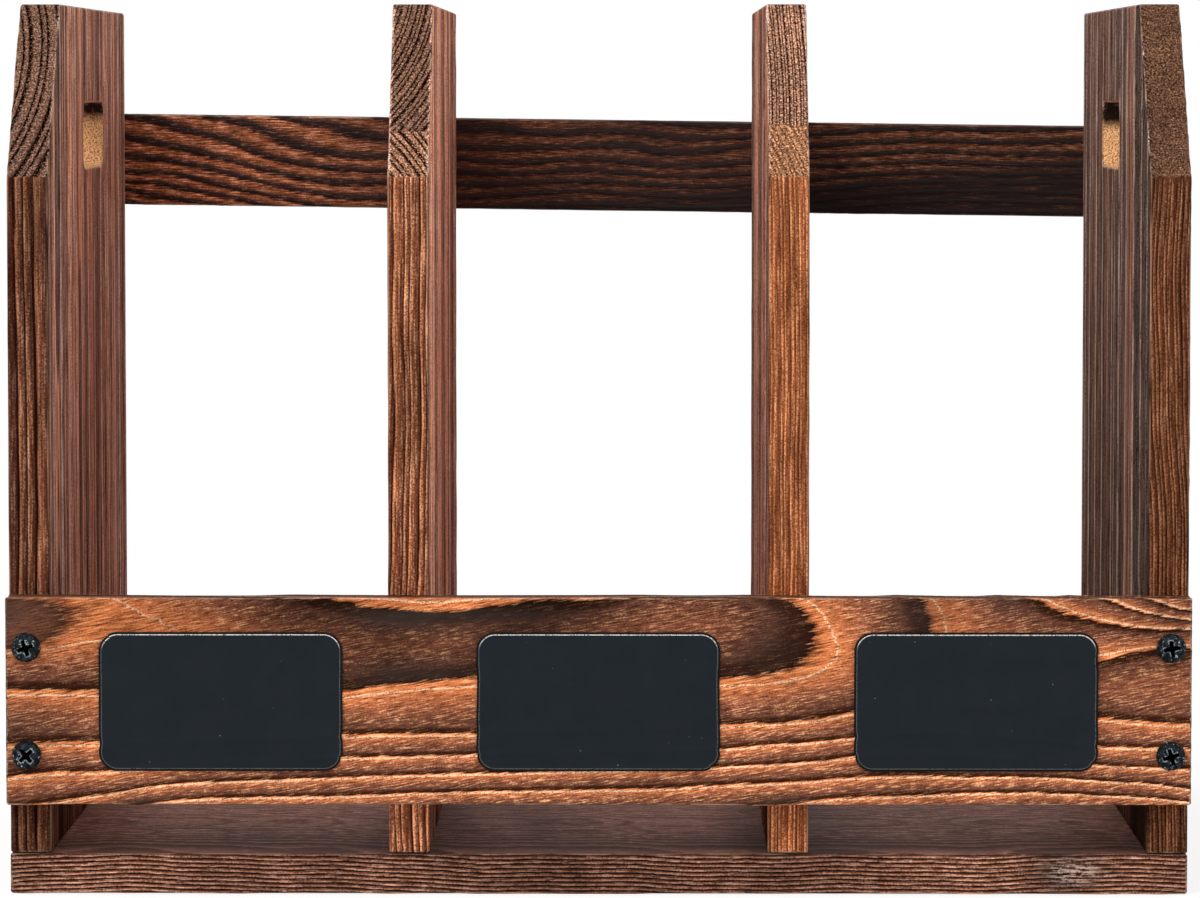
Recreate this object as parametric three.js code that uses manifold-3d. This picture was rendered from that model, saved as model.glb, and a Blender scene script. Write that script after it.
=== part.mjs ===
// A desk document organizer in torched softwood, in millimetres, +Z up and the front facing -Y.
// Four upright boards stand on a base board and part it into three bays. A front board carries a
// chalkboard label for each bay, a rail ties the boards together at the back, and the two outer
// boards have a hand slot. The origin is on the table, under the middle of the organizer.

import * as THREE from "three";
import { mergeVertices } from "three/addons/utils/BufferGeometryUtils.js";
import Module from "manifold-3d";

const wasm = await Module();
wasm.setup();

// Upright boards and base
const organizerWidth = 340; // over the side boards, which is also the length of the base
const boardDepth = 245; // front edge to back edge of the upright boards and of the base
const uprightHeight = 245; // standing on the base
const uprightThickness = 12;
const baseThickness = 12;
const bayCount = 3;
const slopeHeight = 50; // the sloping front corner of each upright board
const slopeDepth = 40;
const arrisRadius = 0.8; // softened long edges of every board
const cornerRadius = 1.8; // softened corners of a board's outline

// Front board
const frontHeight = 60;
const frontThickness = 10;
const frontLift = 15; // open gap between the base and the front board

// Back rail
const railHeight = 30;
const railThickness = 10;
const railBelowTop = 50; // from the top of the uprights down to the middle of the rail
const railSlant = THREE.MathUtils.degToRad(0.73); // its right end sits a little low

// Hand slots through the two side boards
const handSlotLength = 64;
const handSlotHeight = 20;
const handSlotCorner = 6;
const handSlotBelowTop = 39; // from the top of the uprights down to the middle of the slot
const handSlotBehindMiddle = 14.5; // from the middle of the board's depth

// Chalkboard labels
const labelSideMargin = 13.7; // from each side of its bay
const labelEdgeMargin = 10; // bare front board above and below
const labelThickness = 0.6;
const labelCorner = 5.5;
const labelArris = 0.2;
const labelDraw = 1.1; // each label's step sideways is this much less than a bay's

// Pan-head screws, through the front board and through the rail
const panShankRadius = 2.1;
const panHeadRim = 2.1; // how far the head reaches past the shank
const panHeadHeight = 2.9;
const panLength = 30; // under the head
const frontScrewInset = 14.5; // from the front board's top and bottom edges

// Countersunk screws, up through the base into each upright board
const flatShankRadius = 2;
const flatHeadRim = 2;
const flatHeadDepth = 2.4;
const flatLength = 35;
const flatHeadSink = 0.5; // below the underside of the base
const baseScrewInset = 45; // in from the front and back edges of the base

// All screws
const pointLength = 6;
const domePower = 0.8; // 1 makes a pan head as round as a ball, and less makes it boxier
const frontScrewTurns = [0.35, 0.72, 0.16, 0.3]; // how far round each front screw was left
const recessSpan = 4.6; // tip to tip of the cross recess
const recessWidth = 1.3;
const recessDepth = 2;
const recessTaper = 0.55; // size of the recess at its floor, as a share of its mouth
const screwClearance = 0.3; // between a screw and the wood round it

// Facets
const roundSides = 20;
const arrisSteps = 2;
const cornerSteps = 3;
const slotCornerSteps = 6;
const headSteps = 5;
const holeOverrun = 1; // how far a cutter runs past the face that it opens

// Places that follow from the sizes above
const uprightPitch = (organizerWidth - uprightThickness) / bayCount;
const frontFace = -boardDepth / 2; // where the front board meets the uprights
const backFace = boardDepth / 2; // where the rail meets the uprights
const topOfUprights = baseThickness + uprightHeight;
const frontMiddle = baseThickness + frontLift + frontHeight / 2;
const frontScrewHeights = [frontHeight / 2 - frontScrewInset, frontScrewInset - frontHeight / 2];
const railMiddle = topOfUprights - railBelowTop;
const baseScrewPlaces = [frontFace + baseScrewInset, backFace - baseScrewInset];
const panHoleRadius = panShankRadius + screwClearance;
const flatHoleRadius = flatShankRadius + screwClearance;

const uprights = Array.from({ length: bayCount + 1 }, (_, i) => {
  const side = i === 0 ? "left_side" : i === bayCount ? "right_side" : null;
  return {
    name: side ?? "divider_" + i,
    x: (i - bayCount / 2) * uprightPitch,
    isSide: side !== null,
  };
});

const sides = uprights.filter(({ isSide }) => isSide);

// How far along the slanting rail an upright's screw is.
const alongRail = ({ x }) => x / Math.cos(railSlant);

// Materials
const uprightWood = new THREE.MeshStandardMaterial({ color: 0x6b4030, roughness: 0.6, metalness: 0 });
const frontWood = new THREE.MeshStandardMaterial({ color: 0x9a5a36, roughness: 0.55, metalness: 0 });
const baseWood = new THREE.MeshStandardMaterial({ color: 0x5f382a, roughness: 0.6, metalness: 0 });
const railWood = new THREE.MeshStandardMaterial({ color: 0x4a2a1e, roughness: 0.6, metalness: 0 });
const chalkboard = new THREE.MeshStandardMaterial({ color: 0x20272b, roughness: 0.8, metalness: 0 });
const blackSteel = new THREE.MeshStandardMaterial({ color: 0x1c2022, roughness: 0.4, metalness: 0.8 });

// Solids

// Turns a closed geometry into a solid that can be joined and cut.
function toSolid(geometry) {
  const bare = geometry.clone();
  bare.deleteAttribute("normal");
  bare.deleteAttribute("uv");
  const merged = mergeVertices(bare);
  return new wasm.Manifold(
    new wasm.Mesh({
      numProp: 3,
      vertProperties: new Float32Array(merged.attributes.position.array),
      triVerts: new Uint32Array(merged.index.array),
    }),
  );
}

function toGeometry(solid) {
  const mesh = solid.getMesh();
  const geometry = new THREE.BufferGeometry();
  geometry.setAttribute("position", new THREE.BufferAttribute(mesh.vertProperties, 3));
  geometry.setIndex(new THREE.BufferAttribute(mesh.triVerts, 1));
  geometry.computeVertexNormals();
  return geometry;
}

const cut = (geometry, cutters) =>
  toGeometry(cutters.reduce((solid, cutter) => solid.subtract(toSolid(cutter)), toSolid(geometry)));

// Outlines

// A polygon whose corners are rounded off, given as a list of [x, y].
function softPolygon(corners, radius) {
  const points = corners.map(([x, y]) => new THREE.Vector2(x, y));
  const towards = (from, to) => from.clone().add(to.clone().sub(from).setLength(radius));
  return new THREE.Shape(
    points.flatMap((corner, i) => {
      const enter = towards(corner, points.at(i - 1));
      const leave = towards(corner, points[(i + 1) % points.length]);
      return new THREE.QuadraticBezierCurve(enter, corner, leave).getPoints(cornerSteps);
    }),
  );
}

function softRectangle(width, height, radius) {
  const x = width / 2;
  const y = height / 2;
  const corners = [
    [-x, -y],
    [x, -y],
    [x, y],
    [-x, y],
  ];
  return softPolygon(corners, Math.min(radius, x, y));
}

// A slot with round corners, lying along x with its middle at x, y.
function slotOutline(length, height, corner, x, y) {
  const reach = length / 2 - corner;
  const rise = height / 2 - corner;
  const outline = new THREE.Path();
  outline.absarc(x + reach, y - rise, corner, -Math.PI / 2, 0);
  outline.absarc(x + reach, y + rise, corner, 0, Math.PI / 2);
  outline.absarc(x - reach, y + rise, corner, Math.PI / 2, Math.PI);
  outline.absarc(x - reach, y - rise, corner, Math.PI, Math.PI * 1.5);
  outline.closePath();
  return outline;
}

// Boards

// An outline given a thickness along +Z, with its arrises softened and its middle at z = 0.
function plate(outline, thickness, arrisLimit) {
  const arris = Math.min(arrisLimit, thickness / 3);
  const geometry = new THREE.ExtrudeGeometry(outline, {
    depth: thickness - 2 * arris,
    bevelThickness: arris,
    bevelSize: arris,
    bevelOffset: -arris,
    bevelSegments: arrisSteps,
    curveSegments: slotCornerSteps,
  });
  return geometry.translate(0, 0, arris - thickness / 2);
}

// Stands a plate up so that its outline is seen from the front, or from the right.
const facingFront = new THREE.Matrix4().makeBasis(
  new THREE.Vector3(1, 0, 0),
  new THREE.Vector3(0, 0, 1),
  new THREE.Vector3(0, -1, 0),
);
const facingRight = new THREE.Matrix4().makeBasis(
  new THREE.Vector3(0, 1, 0),
  new THREE.Vector3(0, 0, 1),
  new THREE.Vector3(1, 0, 0),
);

// A straight hole for a screw, along y from one place to another.
function screwHole(radius, x, z, fromY, toY) {
  const hole = new THREE.CylinderGeometry(radius, radius, toY - fromY, roundSides);
  return hole.translate(x, (fromY + toY) / 2, z);
}

// An upright board in place, sloping at its front top corner, with a hand slot if it is a side.
// Its holes take the screws of the rail, the base and, in a side, the front board.
function uprightGeometry({ x, isSide }) {
  const corners = [
    [frontFace, baseThickness],
    [backFace, baseThickness],
    [backFace, topOfUprights],
    [frontFace + slopeDepth, topOfUprights],
    [frontFace, topOfUprights - slopeHeight],
  ];
  const outline = softPolygon(corners, cornerRadius);
  if (isSide) {
    const slotMiddle = topOfUprights - handSlotBelowTop;
    const slotSize = [handSlotLength, handSlotHeight, handSlotCorner];
    outline.holes.push(slotOutline(...slotSize, handSlotBehindMiddle, slotMiddle));
  }
  const board = plate(outline, uprightThickness, arrisRadius).applyMatrix4(facingRight);

  const panReach = panLength + screwClearance;
  const flatReach = flatHeadSink + flatLength + screwClearance;
  const railScrewZ = railMiddle - x * Math.tan(railSlant);
  const railEnd = backFace + railThickness - panReach;
  const frontEnd = frontFace - frontThickness + panReach;
  const holes = [
    screwHole(panHoleRadius, 0, railScrewZ, railEnd, backFace + holeOverrun),
    ...baseScrewPlaces.map((y) =>
      screwHole(flatHoleRadius, 0, -y, 0, flatReach).rotateX(Math.PI / 2),
    ),
  ];
  if (isSide) {
    holes.push(
      ...frontScrewHeights.map((z) =>
        screwHole(panHoleRadius, 0, frontMiddle + z, frontFace - holeOverrun, frontEnd),
      ),
    );
  }
  return cut(board, holes);
}

// The base board, countersunk from below for two screws under each upright.
function baseGeometry() {
  const outline = softRectangle(organizerWidth, boardDepth, cornerRadius);
  const board = plate(outline, baseThickness, arrisRadius);
  const mouthRadius = flatHoleRadius + flatHeadRim;
  const profile = [
    [0, -holeOverrun],
    [mouthRadius, -holeOverrun],
    [mouthRadius, flatHeadSink],
    [flatHoleRadius, flatHeadSink + flatHeadDepth],
    [flatHoleRadius, baseThickness + holeOverrun],
    [0, baseThickness + holeOverrun],
  ].map(([r, y]) => new THREE.Vector2(r, y));
  const hole = new THREE.LatheGeometry(profile, roundSides).rotateX(Math.PI / 2);
  const holes = uprights.flatMap(({ x }) =>
    baseScrewPlaces.map((y) => hole.clone().translate(x, y, -baseThickness / 2)),
  );
  return cut(board, holes);
}

// The front board, with two screw holes in line with each side board.
function frontGeometry() {
  const outline = softRectangle(organizerWidth, frontHeight, cornerRadius);
  const board = plate(outline, frontThickness, arrisRadius).applyMatrix4(facingFront);
  const holes = sides.flatMap(({ x }) =>
    frontScrewHeights.map((z) => screwHole(panHoleRadius, x, z, -frontThickness, frontThickness)),
  );
  return cut(board, holes);
}

// The back rail, with one screw hole in line with each upright.
function railGeometry() {
  const outline = softRectangle(organizerWidth, railHeight, cornerRadius);
  const board = plate(outline, railThickness, arrisRadius).applyMatrix4(facingFront);
  const holes = uprights.map((upright) =>
    screwHole(panHoleRadius, alongRail(upright), 0, -railThickness, railThickness),
  );
  return cut(board, holes);
}

// Screws, made along y with the seat of the head at y = 0 and the point downwards

// A cross recess sunk from a height: two blades and a round pit where they meet, all tapering.
function crossRecess(top) {
  const height = recessDepth + holeOverrun;
  const middle = top - recessDepth + height / 2;
  const blade = (length, width) =>
    new THREE.CylinderGeometry(1, recessTaper, height, 4)
      .rotateY(Math.PI / 4)
      .scale(length / Math.SQRT2, 1, width / Math.SQRT2);
  const pit = new THREE.CylinderGeometry(recessWidth, recessWidth * recessTaper, height, 8);
  return [blade(recessSpan, recessWidth), blade(recessWidth, recessSpan), pit].map((cutter) =>
    cutter.translate(0, middle, 0),
  );
}

// A screw turned from half of its outline, a list of [radius, height], with a cross recess.
function screwGeometry(profile, top) {
  const points = profile.map(([r, y]) => new THREE.Vector2(r, y));
  return cut(new THREE.LatheGeometry(points, roundSides), crossRecess(top));
}

// A head like a ball pressed flatter: both its radius and its height follow a power of the angle.
function panScrewGeometry() {
  const headRadius = panShankRadius + panHeadRim;
  const dome = Array.from({ length: headSteps }, (_, i) => {
    const angle = (i / headSteps) * (Math.PI / 2);
    return [headRadius * Math.cos(angle) ** domePower, panHeadHeight * Math.sin(angle) ** domePower];
  });
  const profile = [
    [0, -panLength],
    [panShankRadius, -panLength + pointLength],
    [panShankRadius, 0],
    ...dome,
    [0, panHeadHeight],
  ];
  return screwGeometry(profile, panHeadHeight);
}

function flatScrewGeometry() {
  const profile = [
    [0, -flatLength],
    [flatShankRadius, -flatLength + pointLength],
    [flatShankRadius, -flatHeadDepth],
    [flatShankRadius + flatHeadRim, 0],
    [0, 0],
  ];
  return screwGeometry(profile, 0);
}

// Assembly

const organizer = new THREE.Group();

function add(group, name, geometry, material, x, y, z) {
  const mesh = new THREE.Mesh(geometry, material);
  mesh.name = name;
  mesh.position.set(x, y, z);
  group.add(mesh);
  return mesh;
}

add(organizer, "base_board", baseGeometry(), baseWood, 0, 0, baseThickness / 2);

for (const upright of uprights) {
  add(organizer, upright.name, uprightGeometry(upright), uprightWood, upright.x, 0, 0);
}

const frontBoardY = frontFace - frontThickness / 2;
add(organizer, "front_board", frontGeometry(), frontWood, 0, frontBoardY, frontMiddle);

const bayWidth = uprightPitch - uprightThickness;
const labelWidth = bayWidth - 2 * labelSideMargin;
const labelHeight = frontHeight - 2 * labelEdgeMargin;
const labelOutline = softRectangle(labelWidth, labelHeight, labelCorner);
const label = plate(labelOutline, labelThickness, labelArris).applyMatrix4(facingFront);
const labelY = frontFace - frontThickness - labelThickness / 2;
for (let i = 0; i < bayCount; i++) {
  const x = (i - (bayCount - 1) / 2) * (uprightPitch - labelDraw);
  add(organizer, `label_${i + 1}`, label, chalkboard, x, labelY, frontMiddle);
}

const panScrew = panScrewGeometry();
const flatScrew = flatScrewGeometry();
const frontScrewY = frontFace - frontThickness;
sides.forEach(({ name, x }, side) => {
  frontScrewHeights.forEach((z, i) => {
    const screwName = `${name}_front_screw_${["upper", "lower"][i]}`;
    const screw = add(organizer, screwName, panScrew, blackSteel, x, frontScrewY, frontMiddle + z);
    screw.rotation.set(Math.PI, frontScrewTurns[2 * side + i], 0);
  });
});

for (const { name, x } of uprights) {
  baseScrewPlaces.forEach((y, i) => {
    const screwName = `${name}_base_screw_${["front", "back"][i]}`;
    const screw = add(organizer, screwName, flatScrew, blackSteel, x, y, flatHeadSink);
    screw.rotation.x = -Math.PI / 2;
  });
}

const rail = new THREE.Group();
rail.position.set(0, backFace, railMiddle);
rail.rotation.y = railSlant;
organizer.add(rail);
add(rail, "back_rail", railGeometry(), railWood, 0, railThickness / 2, 0);
for (const upright of uprights) {
  const screwName = `${upright.name}_rail_screw`;
  add(rail, screwName, panScrew, blackSteel, alongRail(upright), railThickness, 0);
}

export default organizer;
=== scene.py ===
"""A desk document organizer in torched and brushed softwood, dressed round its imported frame.

Every board is a closed surface of lattice points whose growth rings are a smooth field, kept in the
mesh as an attribute. The same field carves the brushed relief and colours the wood. Metres, +Z up,
front facing -Y.
"""

import math

import bpy
import numpy as np
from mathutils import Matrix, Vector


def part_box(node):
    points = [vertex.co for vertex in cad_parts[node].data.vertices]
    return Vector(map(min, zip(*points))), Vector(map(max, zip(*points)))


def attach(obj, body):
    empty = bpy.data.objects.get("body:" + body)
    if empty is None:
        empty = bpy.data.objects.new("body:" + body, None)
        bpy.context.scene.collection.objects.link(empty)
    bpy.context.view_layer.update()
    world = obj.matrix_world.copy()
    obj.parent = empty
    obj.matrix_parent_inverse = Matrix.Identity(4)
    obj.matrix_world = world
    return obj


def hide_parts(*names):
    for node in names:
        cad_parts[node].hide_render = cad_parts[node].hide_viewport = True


bl_info = {
    "name": "Torched Desk Organizer",
    "version": (1, 0, 0),
    "blender": (4, 5, 0),
    "location": "3D View > Sidebar > Organizer",
    "description": "Builds the boards, labels, screws and studio of a torched softwood desk organizer",
    "category": "Object",
}

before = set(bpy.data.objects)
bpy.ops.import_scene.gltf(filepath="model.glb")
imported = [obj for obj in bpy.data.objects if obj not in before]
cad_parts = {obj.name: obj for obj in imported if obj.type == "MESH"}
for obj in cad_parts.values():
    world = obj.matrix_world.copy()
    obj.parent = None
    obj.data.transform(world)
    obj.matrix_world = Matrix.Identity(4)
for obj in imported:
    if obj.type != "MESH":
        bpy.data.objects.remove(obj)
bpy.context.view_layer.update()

MM = 0.001
TURN = 2 * math.pi

UPRIGHTS = ("left_side", "divider_1", "divider_2", "right_side")
SIDES = ("left_side", "right_side")
LABELS = ("label_1", "label_2", "label_3")

# Places that the frame gives
BOX = {name: tuple(np.array(corner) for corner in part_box(name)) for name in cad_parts}
FRONT_FACE = BOX["front_board"][0][1]
UPRIGHT_X = {name: (BOX[name][0][0] + BOX[name][1][0]) / 2 for name in UPRIGHTS}

# The slope at each upright's front top corner, and the rail's place, as the frame has them
SLOPE_HEIGHT = 50 * MM
SLOPE_DEPTH = 40 * MM
RAIL_SLANT = math.radians(0.73)
RAIL_LENGTH = 339.96 * MM
RAIL_HEIGHT = 30 * MM
RAIL_MIDDLE = 207 * MM

# The hand slots through the two sides
SLOT_LENGTH = 64 * MM
SLOT_HEIGHT = 20 * MM
SLOT_CORNER = 6 * MM
SLOT_Y = 14.5 * MM
SLOT_Z = 218 * MM

# Screws and their holes
PAN_SHANK = 2.1 * MM
PAN_HEAD = 4.2 * MM
PAN_HEIGHT = 2.85 * MM
PAN_LENGTH = 30 * MM
PAN_HOLE = 2.4 * MM
FLAT_SHANK = 2.0 * MM
FLAT_HEAD = 4.0 * MM
FLAT_DEPTH = 2.4 * MM
FLAT_LENGTH = 35 * MM
FLAT_HOLE = 2.3 * MM
FLAT_MOUTH = 4.3 * MM
FLAT_SINK = 0.5 * MM
POINT_LENGTH = 6 * MM
DOME_POWER = 0.8
FRONT_SCREW_TURNS = (0.35, 0.72, 0.16, 0.3)
FRONT_SCREW_INSET = 14.5 * MM
BASE_SCREW_INSET = 45 * MM
SCREW_CLEARANCE = 0.3 * MM
THREAD_PITCH = 1.7 * MM
THREAD_CORE = 0.7  # radius between the crests, as a share of the shank's
THREAD_ROWS = 56
PAN_SIDES = 96
FLAT_SIDES = 72

# The cross recess pressed into every head
BLADE_WIDTH = 0.68 * MM  # from the middle line to a blade's side
BLADE_TAPER = 0.07
BLADE_REACH = 2.35 * MM
PIT_RADIUS = 1.05 * MM
RECESS_DEPTH = 2.0 * MM
RECESS_RISE = 0.42  # how steeply its floor rises towards the tips
RECESS_FIELD = 2.75 * MM  # radius of the finely meshed middle of a head
RECESS_ROWS = 27

# Lattice steps, and half the windows left out of a lattice round a screw's hole
BOARD_THROUGH = 0.8 * MM
BASE_STEPS = (2.5 * MM, 1.2 * MM, 0.4 * MM)
UPRIGHT_ALONG = 2.5 * MM
UPRIGHT_THROUGH = 0.4 * MM
HOLE_WINDOW = 3.3 * MM
SINK_WINDOW = 5 * MM
SLOT_MARGIN = 5 * MM
GLUE_LINE = 0.06 * MM
RIM_ANGLES = np.linspace(0, math.pi / 2, 4)  # the rows that round over a slot's or a label's rim
LABEL_POINTS = 400
LABEL_ROWS = 26


def linear(hex_colour):
    """A colour written as 0xRRGGBB, as the linear light that a shader takes."""
    levels = [(hex_colour >> shift & 255) / 255 for shift in (16, 8, 0)]
    return tuple(v / 12.92 if v <= 0.04045 else ((v + 0.055) / 1.055) ** 2.4 for v in levels)


def colour_property(name, description, hex_colour):
    """A colour that the user can change."""
    return bpy.props.FloatVectorProperty(
        name=name, description=description, default=linear(hex_colour), subtype="COLOR", min=0, max=1
    )


def length_property(name, description, size):
    """A length that the user can change."""
    return bpy.props.FloatProperty(
        name=name, description=description, default=size, min=0, unit="LENGTH", subtype="DISTANCE"
    )


def amount_property(name, description, amount):
    """A plain amount, none or more."""
    return bpy.props.FloatProperty(name=name, description=description, default=amount, min=0)


def power_property(name, description, power):
    """A lamp's power."""
    return bpy.props.FloatProperty(name=name, description=description, default=power, min=0, unit="POWER")


def share_property(name, description, share):
    """A share from none to all."""
    return bpy.props.FloatProperty(
        name=name, description=description, default=share, min=0, max=1, subtype="FACTOR"
    )


# Growth rings of the front board, as points (x, z) in millimetres where each ring begins. One long
# valley runs along the board and closes in rounded noses, with the rings of its two slopes outside.
FRONT_RINGS = (
    (1, ((-170, 86.5), (-160, 85.5), (-155, 83.5), (-154, 80.5), (-157, 76.5), (-163, 73.5), (-170, 72.5))),
    (2, ((-170, 60.5), (-143, 60.5), (-108, 59.5), (-73, 60.5), (-59, 62.5), (-36, 64.5), (1, 64.5))),
    (2, ((35, 64.5), (53, 66), (58, 70), (61, 74), (60, 80.5), (55, 85.5))),
    (2, ((-84, 87.5), (-72, 85.5), (-67, 84), (-59, 83.5), (-44, 82.5))),
    (2, ((-37, 83.5), (-27, 84.5), (-12, 86), (1, 86.5))),
    (3, ((-170, 45), (-143, 45.5), (-108, 46), (-73, 47.5), (-36, 48), (1, 49), (35, 50.5), (61, 52))),
    (3, ((73, 54.5), (101, 56.5), (124, 55.5), (143, 53), (160, 51.5), (170, 51))),
    (3, ((92, 86), (94, 80.5), (95, 76), (101, 70.5), (115, 67))),
    (3, ((132, 67), (144, 68.5), (160, 72), (170, 72.5))),
    (4, ((-170, 35.5), (-155, 37), (-143, 37), (-108, 39), (-73, 41), (-36, 42), (1, 42.5), (35, 43.5))),
    (4, ((48, 45), (61, 45.5), (73, 47), (101, 48), (144, 44.5), (170, 44))),
    (4, ((127, 85.5), (129, 84), (140, 80.5), (152, 78.5), (160, 77.5), (170, 78))),
    (5, ((-170, 26.5), (-162, 27.5), (-138, 31), (-120, 33.5), (-73, 35.5), (-36, 36.5), (1, 37.5))),
    (5, ((35, 38.5), (61, 40), (73, 41.5), (101, 42), (144, 39), (170, 38))),
    (5, ((147, 86), (152, 84), (160, 82), (170, 80.5))),
    (6, ((-128, 28), (-104, 29.5), (-73, 30), (-48, 31), (5, 32), (38, 33.5), (61, 34.5), (73, 35.5))),
    (6, ((106, 35.5), (129, 35.5), (144, 34.5), (160, 33.5), (170, 32))),
    (6, ((159, 86), (163, 84.5), (170, 83))),
    (7, ((-48, 26), (5, 26), (38, 26.5), (52, 27.5), (68, 29.5))),
    (7, ((83, 30), (106, 31), (129, 31), (160, 29.5), (170, 28.5))),
)
# The valley floor, as (x, z) in millimetres with the ring value that it reaches there.
FRONT_FLOOR = (
    (0.75, ((-170, 80),)),
    (1.1, ((-143, 87),)),
    (1.14, ((-120, 75),)),
    (1.4, ((-85, 74),)),
    (1.55, ((-48, 74), (1, 75))),
    (1.5, ((29, 76),)),
    (1.72, ((44, 76),)),
    (1.6, ((24, 86),)),
    (2.13, ((69, 73),)),
    (2.4, ((81, 70),)),
    (2.5, ((75, 86), (144, 61), (170, 61))),
    (2.6, ((104, 63),)),
)
# Soft patches on the front board, each a strength, then its middle and its reach along x and z in
# millimetres: burnt ones, burnt ones inside the valley, and ones that are lighter or darker.
FRONT_CHAR = (
    (0.75, -168, 81, 12, 8),
    (0.6, -131, 28, 7, 2.2),
    (0.6, 54, 28, 9, 2.4),
    (0.5, 92, 82, 8, 7),
    (0.45, 116, 85, 6, 4),
    (0.35, -168, 51, 10, 4),
)
VALLEY_CHAR = (
    (0.62, -58, 81, 17, 3.6),
    (0.5, -30, 82, 30, 2.2),
    (0.6, -55, 64.5, 24, 4.5),
    (0.2, -10, 76, 50, 8),
)
FRONT_TONE = (
    (0.45, -166, 80, 8, 6),
    (-0.2, -112, 80, 36, 8),
    (-0.2, -92, 80, 24, 9),
    (-0.24, -8, 83, 34, 7),
)
# Growth rings of the back rail, as points (x, z) in millimetres: close lines that fall away at the left.
RAIL_RINGS = (
    (1, ((-95, 225), (-49, 219), (-34, 219), (-20, 217), (6, 218))),
    (1, ((30, 215.5), (47, 216), (67, 217), (97, 219))),
    (2, ((-101, 221.5), (-90, 220.5), (-84, 217.5), (-73, 216), (-49, 212.5), (-24, 212.5), (6, 213.5))),
    (2, ((20, 211), (33, 211.5), (47, 213.5), (67, 213), (94, 214.5))),
    (2, ((107, 215), (120, 214.5), (158, 215))),
    (3, ((-127, 222), (-120, 221.5), (-115, 219), (-102, 213.5), (-86, 210), (-73, 209.5), (-49, 209.5))),
    (3, ((-27, 207.5), (0, 208.5), (20, 206.5), (47, 207.5), (67, 209.5))),
    (3, ((107, 211.5), (140, 210.5), (158, 210.5))),
    (4, ((-153, 222.5), (-148, 222), (-142, 219.5), (-124, 215), (-110, 209.5), (-89, 206), (-73, 205))),
    (4, ((-49, 204.5), (-7, 205.5), (20, 203.5), (47, 204), (67, 206.5), (107, 208), (158, 207))),
    (5, ((-157, 216), (-145, 213.5), (-129, 210), (-110, 205), (-92, 201.5), (-73, 201.5), (-49, 200.5))),
    (5, ((-7, 201.5), (47, 200.5), (67, 202), (94, 204), (127, 204), (158, 204))),
    (6, ((-158, 210), (-148, 209), (-127, 205), (-107, 200), (-83, 196))),
    (6, ((-49, 196), (-10, 198.5), (27, 196.5))),
    (6, ((47, 197), (67, 198.5), (94, 201), (127, 201.5), (158, 201.5))),
    (7, ((-158, 204.5), (-148, 204.5), (-124, 199.5), (-104, 195.5), (-49, 193), (-14, 194), (47, 193.5))),
    (7, ((67, 195), (81, 196.5), (120, 198.5), (158, 197.5))),
    (8, ((-158, 201.5), (-148, 201), (-124, 196.5), (-118, 195), (67, 192.5), (94, 194.5), (158, 194.5))),
    (9, ((-158, 199), (-148, 196.5), (-139, 195.5))),
)


def spline_field(rings, stretch, ease):
    """A smooth ring value over a plane through the given points.

    A thin-plate spline: a tilted plane plus, for each point, a weight times half d² log d², where d
    is the distance to that point with the first direction shortened by stretch. The weights bring
    it to every point's ring value, within an ease.
    """
    chosen = np.array([(a * stretch, b) for _, points in rings for a, b in points], float)
    values = np.array([ring for ring, points in rings for _ in points], float)
    count = len(chosen)

    def bend(square):
        """Half d² log d², from d²."""
        return 0.5 * square * np.log(square + 1e-9)

    apart = ((chosen[:, None] - chosen) ** 2).sum(-1)
    system = np.zeros((count + 3, count + 3))
    system[:count, :count] = bend(apart) + ease * np.eye(count)
    system[:count, count:] = np.c_[np.ones(count), chosen]
    system[count:, :count] = system[:count, count:].T
    weights = np.linalg.solve(system, np.r_[values, 0, 0, 0])

    def field(a, b):
        """The ring value at a place."""
        a = a * stretch
        total = weights[count] + weights[count + 1] * a + weights[count + 2] * b
        for (chosen_a, chosen_b), weight in zip(chosen, weights):
            total = total + weight * bend((a - chosen_a) ** 2 + (b - chosen_b) ** 2)
        return total

    return field


def ripple(a, b, waves):
    """A sum of sine waves over a plane: each is (height, length along a, length along b, phase)."""
    total = np.zeros(np.broadcast(a, b).shape)
    for height, length_a, length_b, phase in waves:
        total = total + height * np.sin(TURN * (a / length_a + b / length_b) + phase)
    return total


def bump(a, b, centre_a, centre_b, reach_a, reach_b):
    """A soft round patch, 1 in its middle: e to the minus of the squared scaled distance."""
    return np.exp(-(((a - centre_a) / reach_a) ** 2) - ((b - centre_b) / reach_b) ** 2)


def patches(a, b, table):
    """The sum of soft patches, each a strength and then what bump takes."""
    return sum(strength * bump(a, b, *patch) for strength, *patch in table)


def rise(value, low, high):
    """Smoothly from 0 at low to 1 at high: 3s² - 2s³."""
    s = np.clip((value - low) / (high - low), 0, 1)
    return s * s * (3 - 2 * s)


front_field = spline_field(FRONT_RINGS + FRONT_FLOOR, stretch=0.35, ease=3)
rail_field = spline_field(RAIL_RINGS, stretch=0.35, ease=3)


class Grain:
    """The wood at points: its rings, burning and painted shade, lightness with painted light, warmth,
    plainness, pale streaks and painted sheen.
    """

    def __init__(self, ring, char, tone, warm=0.0, plain=0.0, frost=0.0):
        self.ring = ring
        self.char = char
        self.tone = tone
        self.warm = np.broadcast_to(np.asarray(warm, float), ring.shape)
        self.plain = np.broadcast_to(np.asarray(plain, float), ring.shape)
        self.frost = np.broadcast_to(np.asarray(frost, float), ring.shape)


def ring_slopes(grain, points, ring):
    """How many rings a millimetre crosses along each axis, from small steps."""
    step = 0.05 * MM
    return np.stack([(grain(points + step * way).ring - ring) / 0.05 for way in np.eye(3)])


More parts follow.
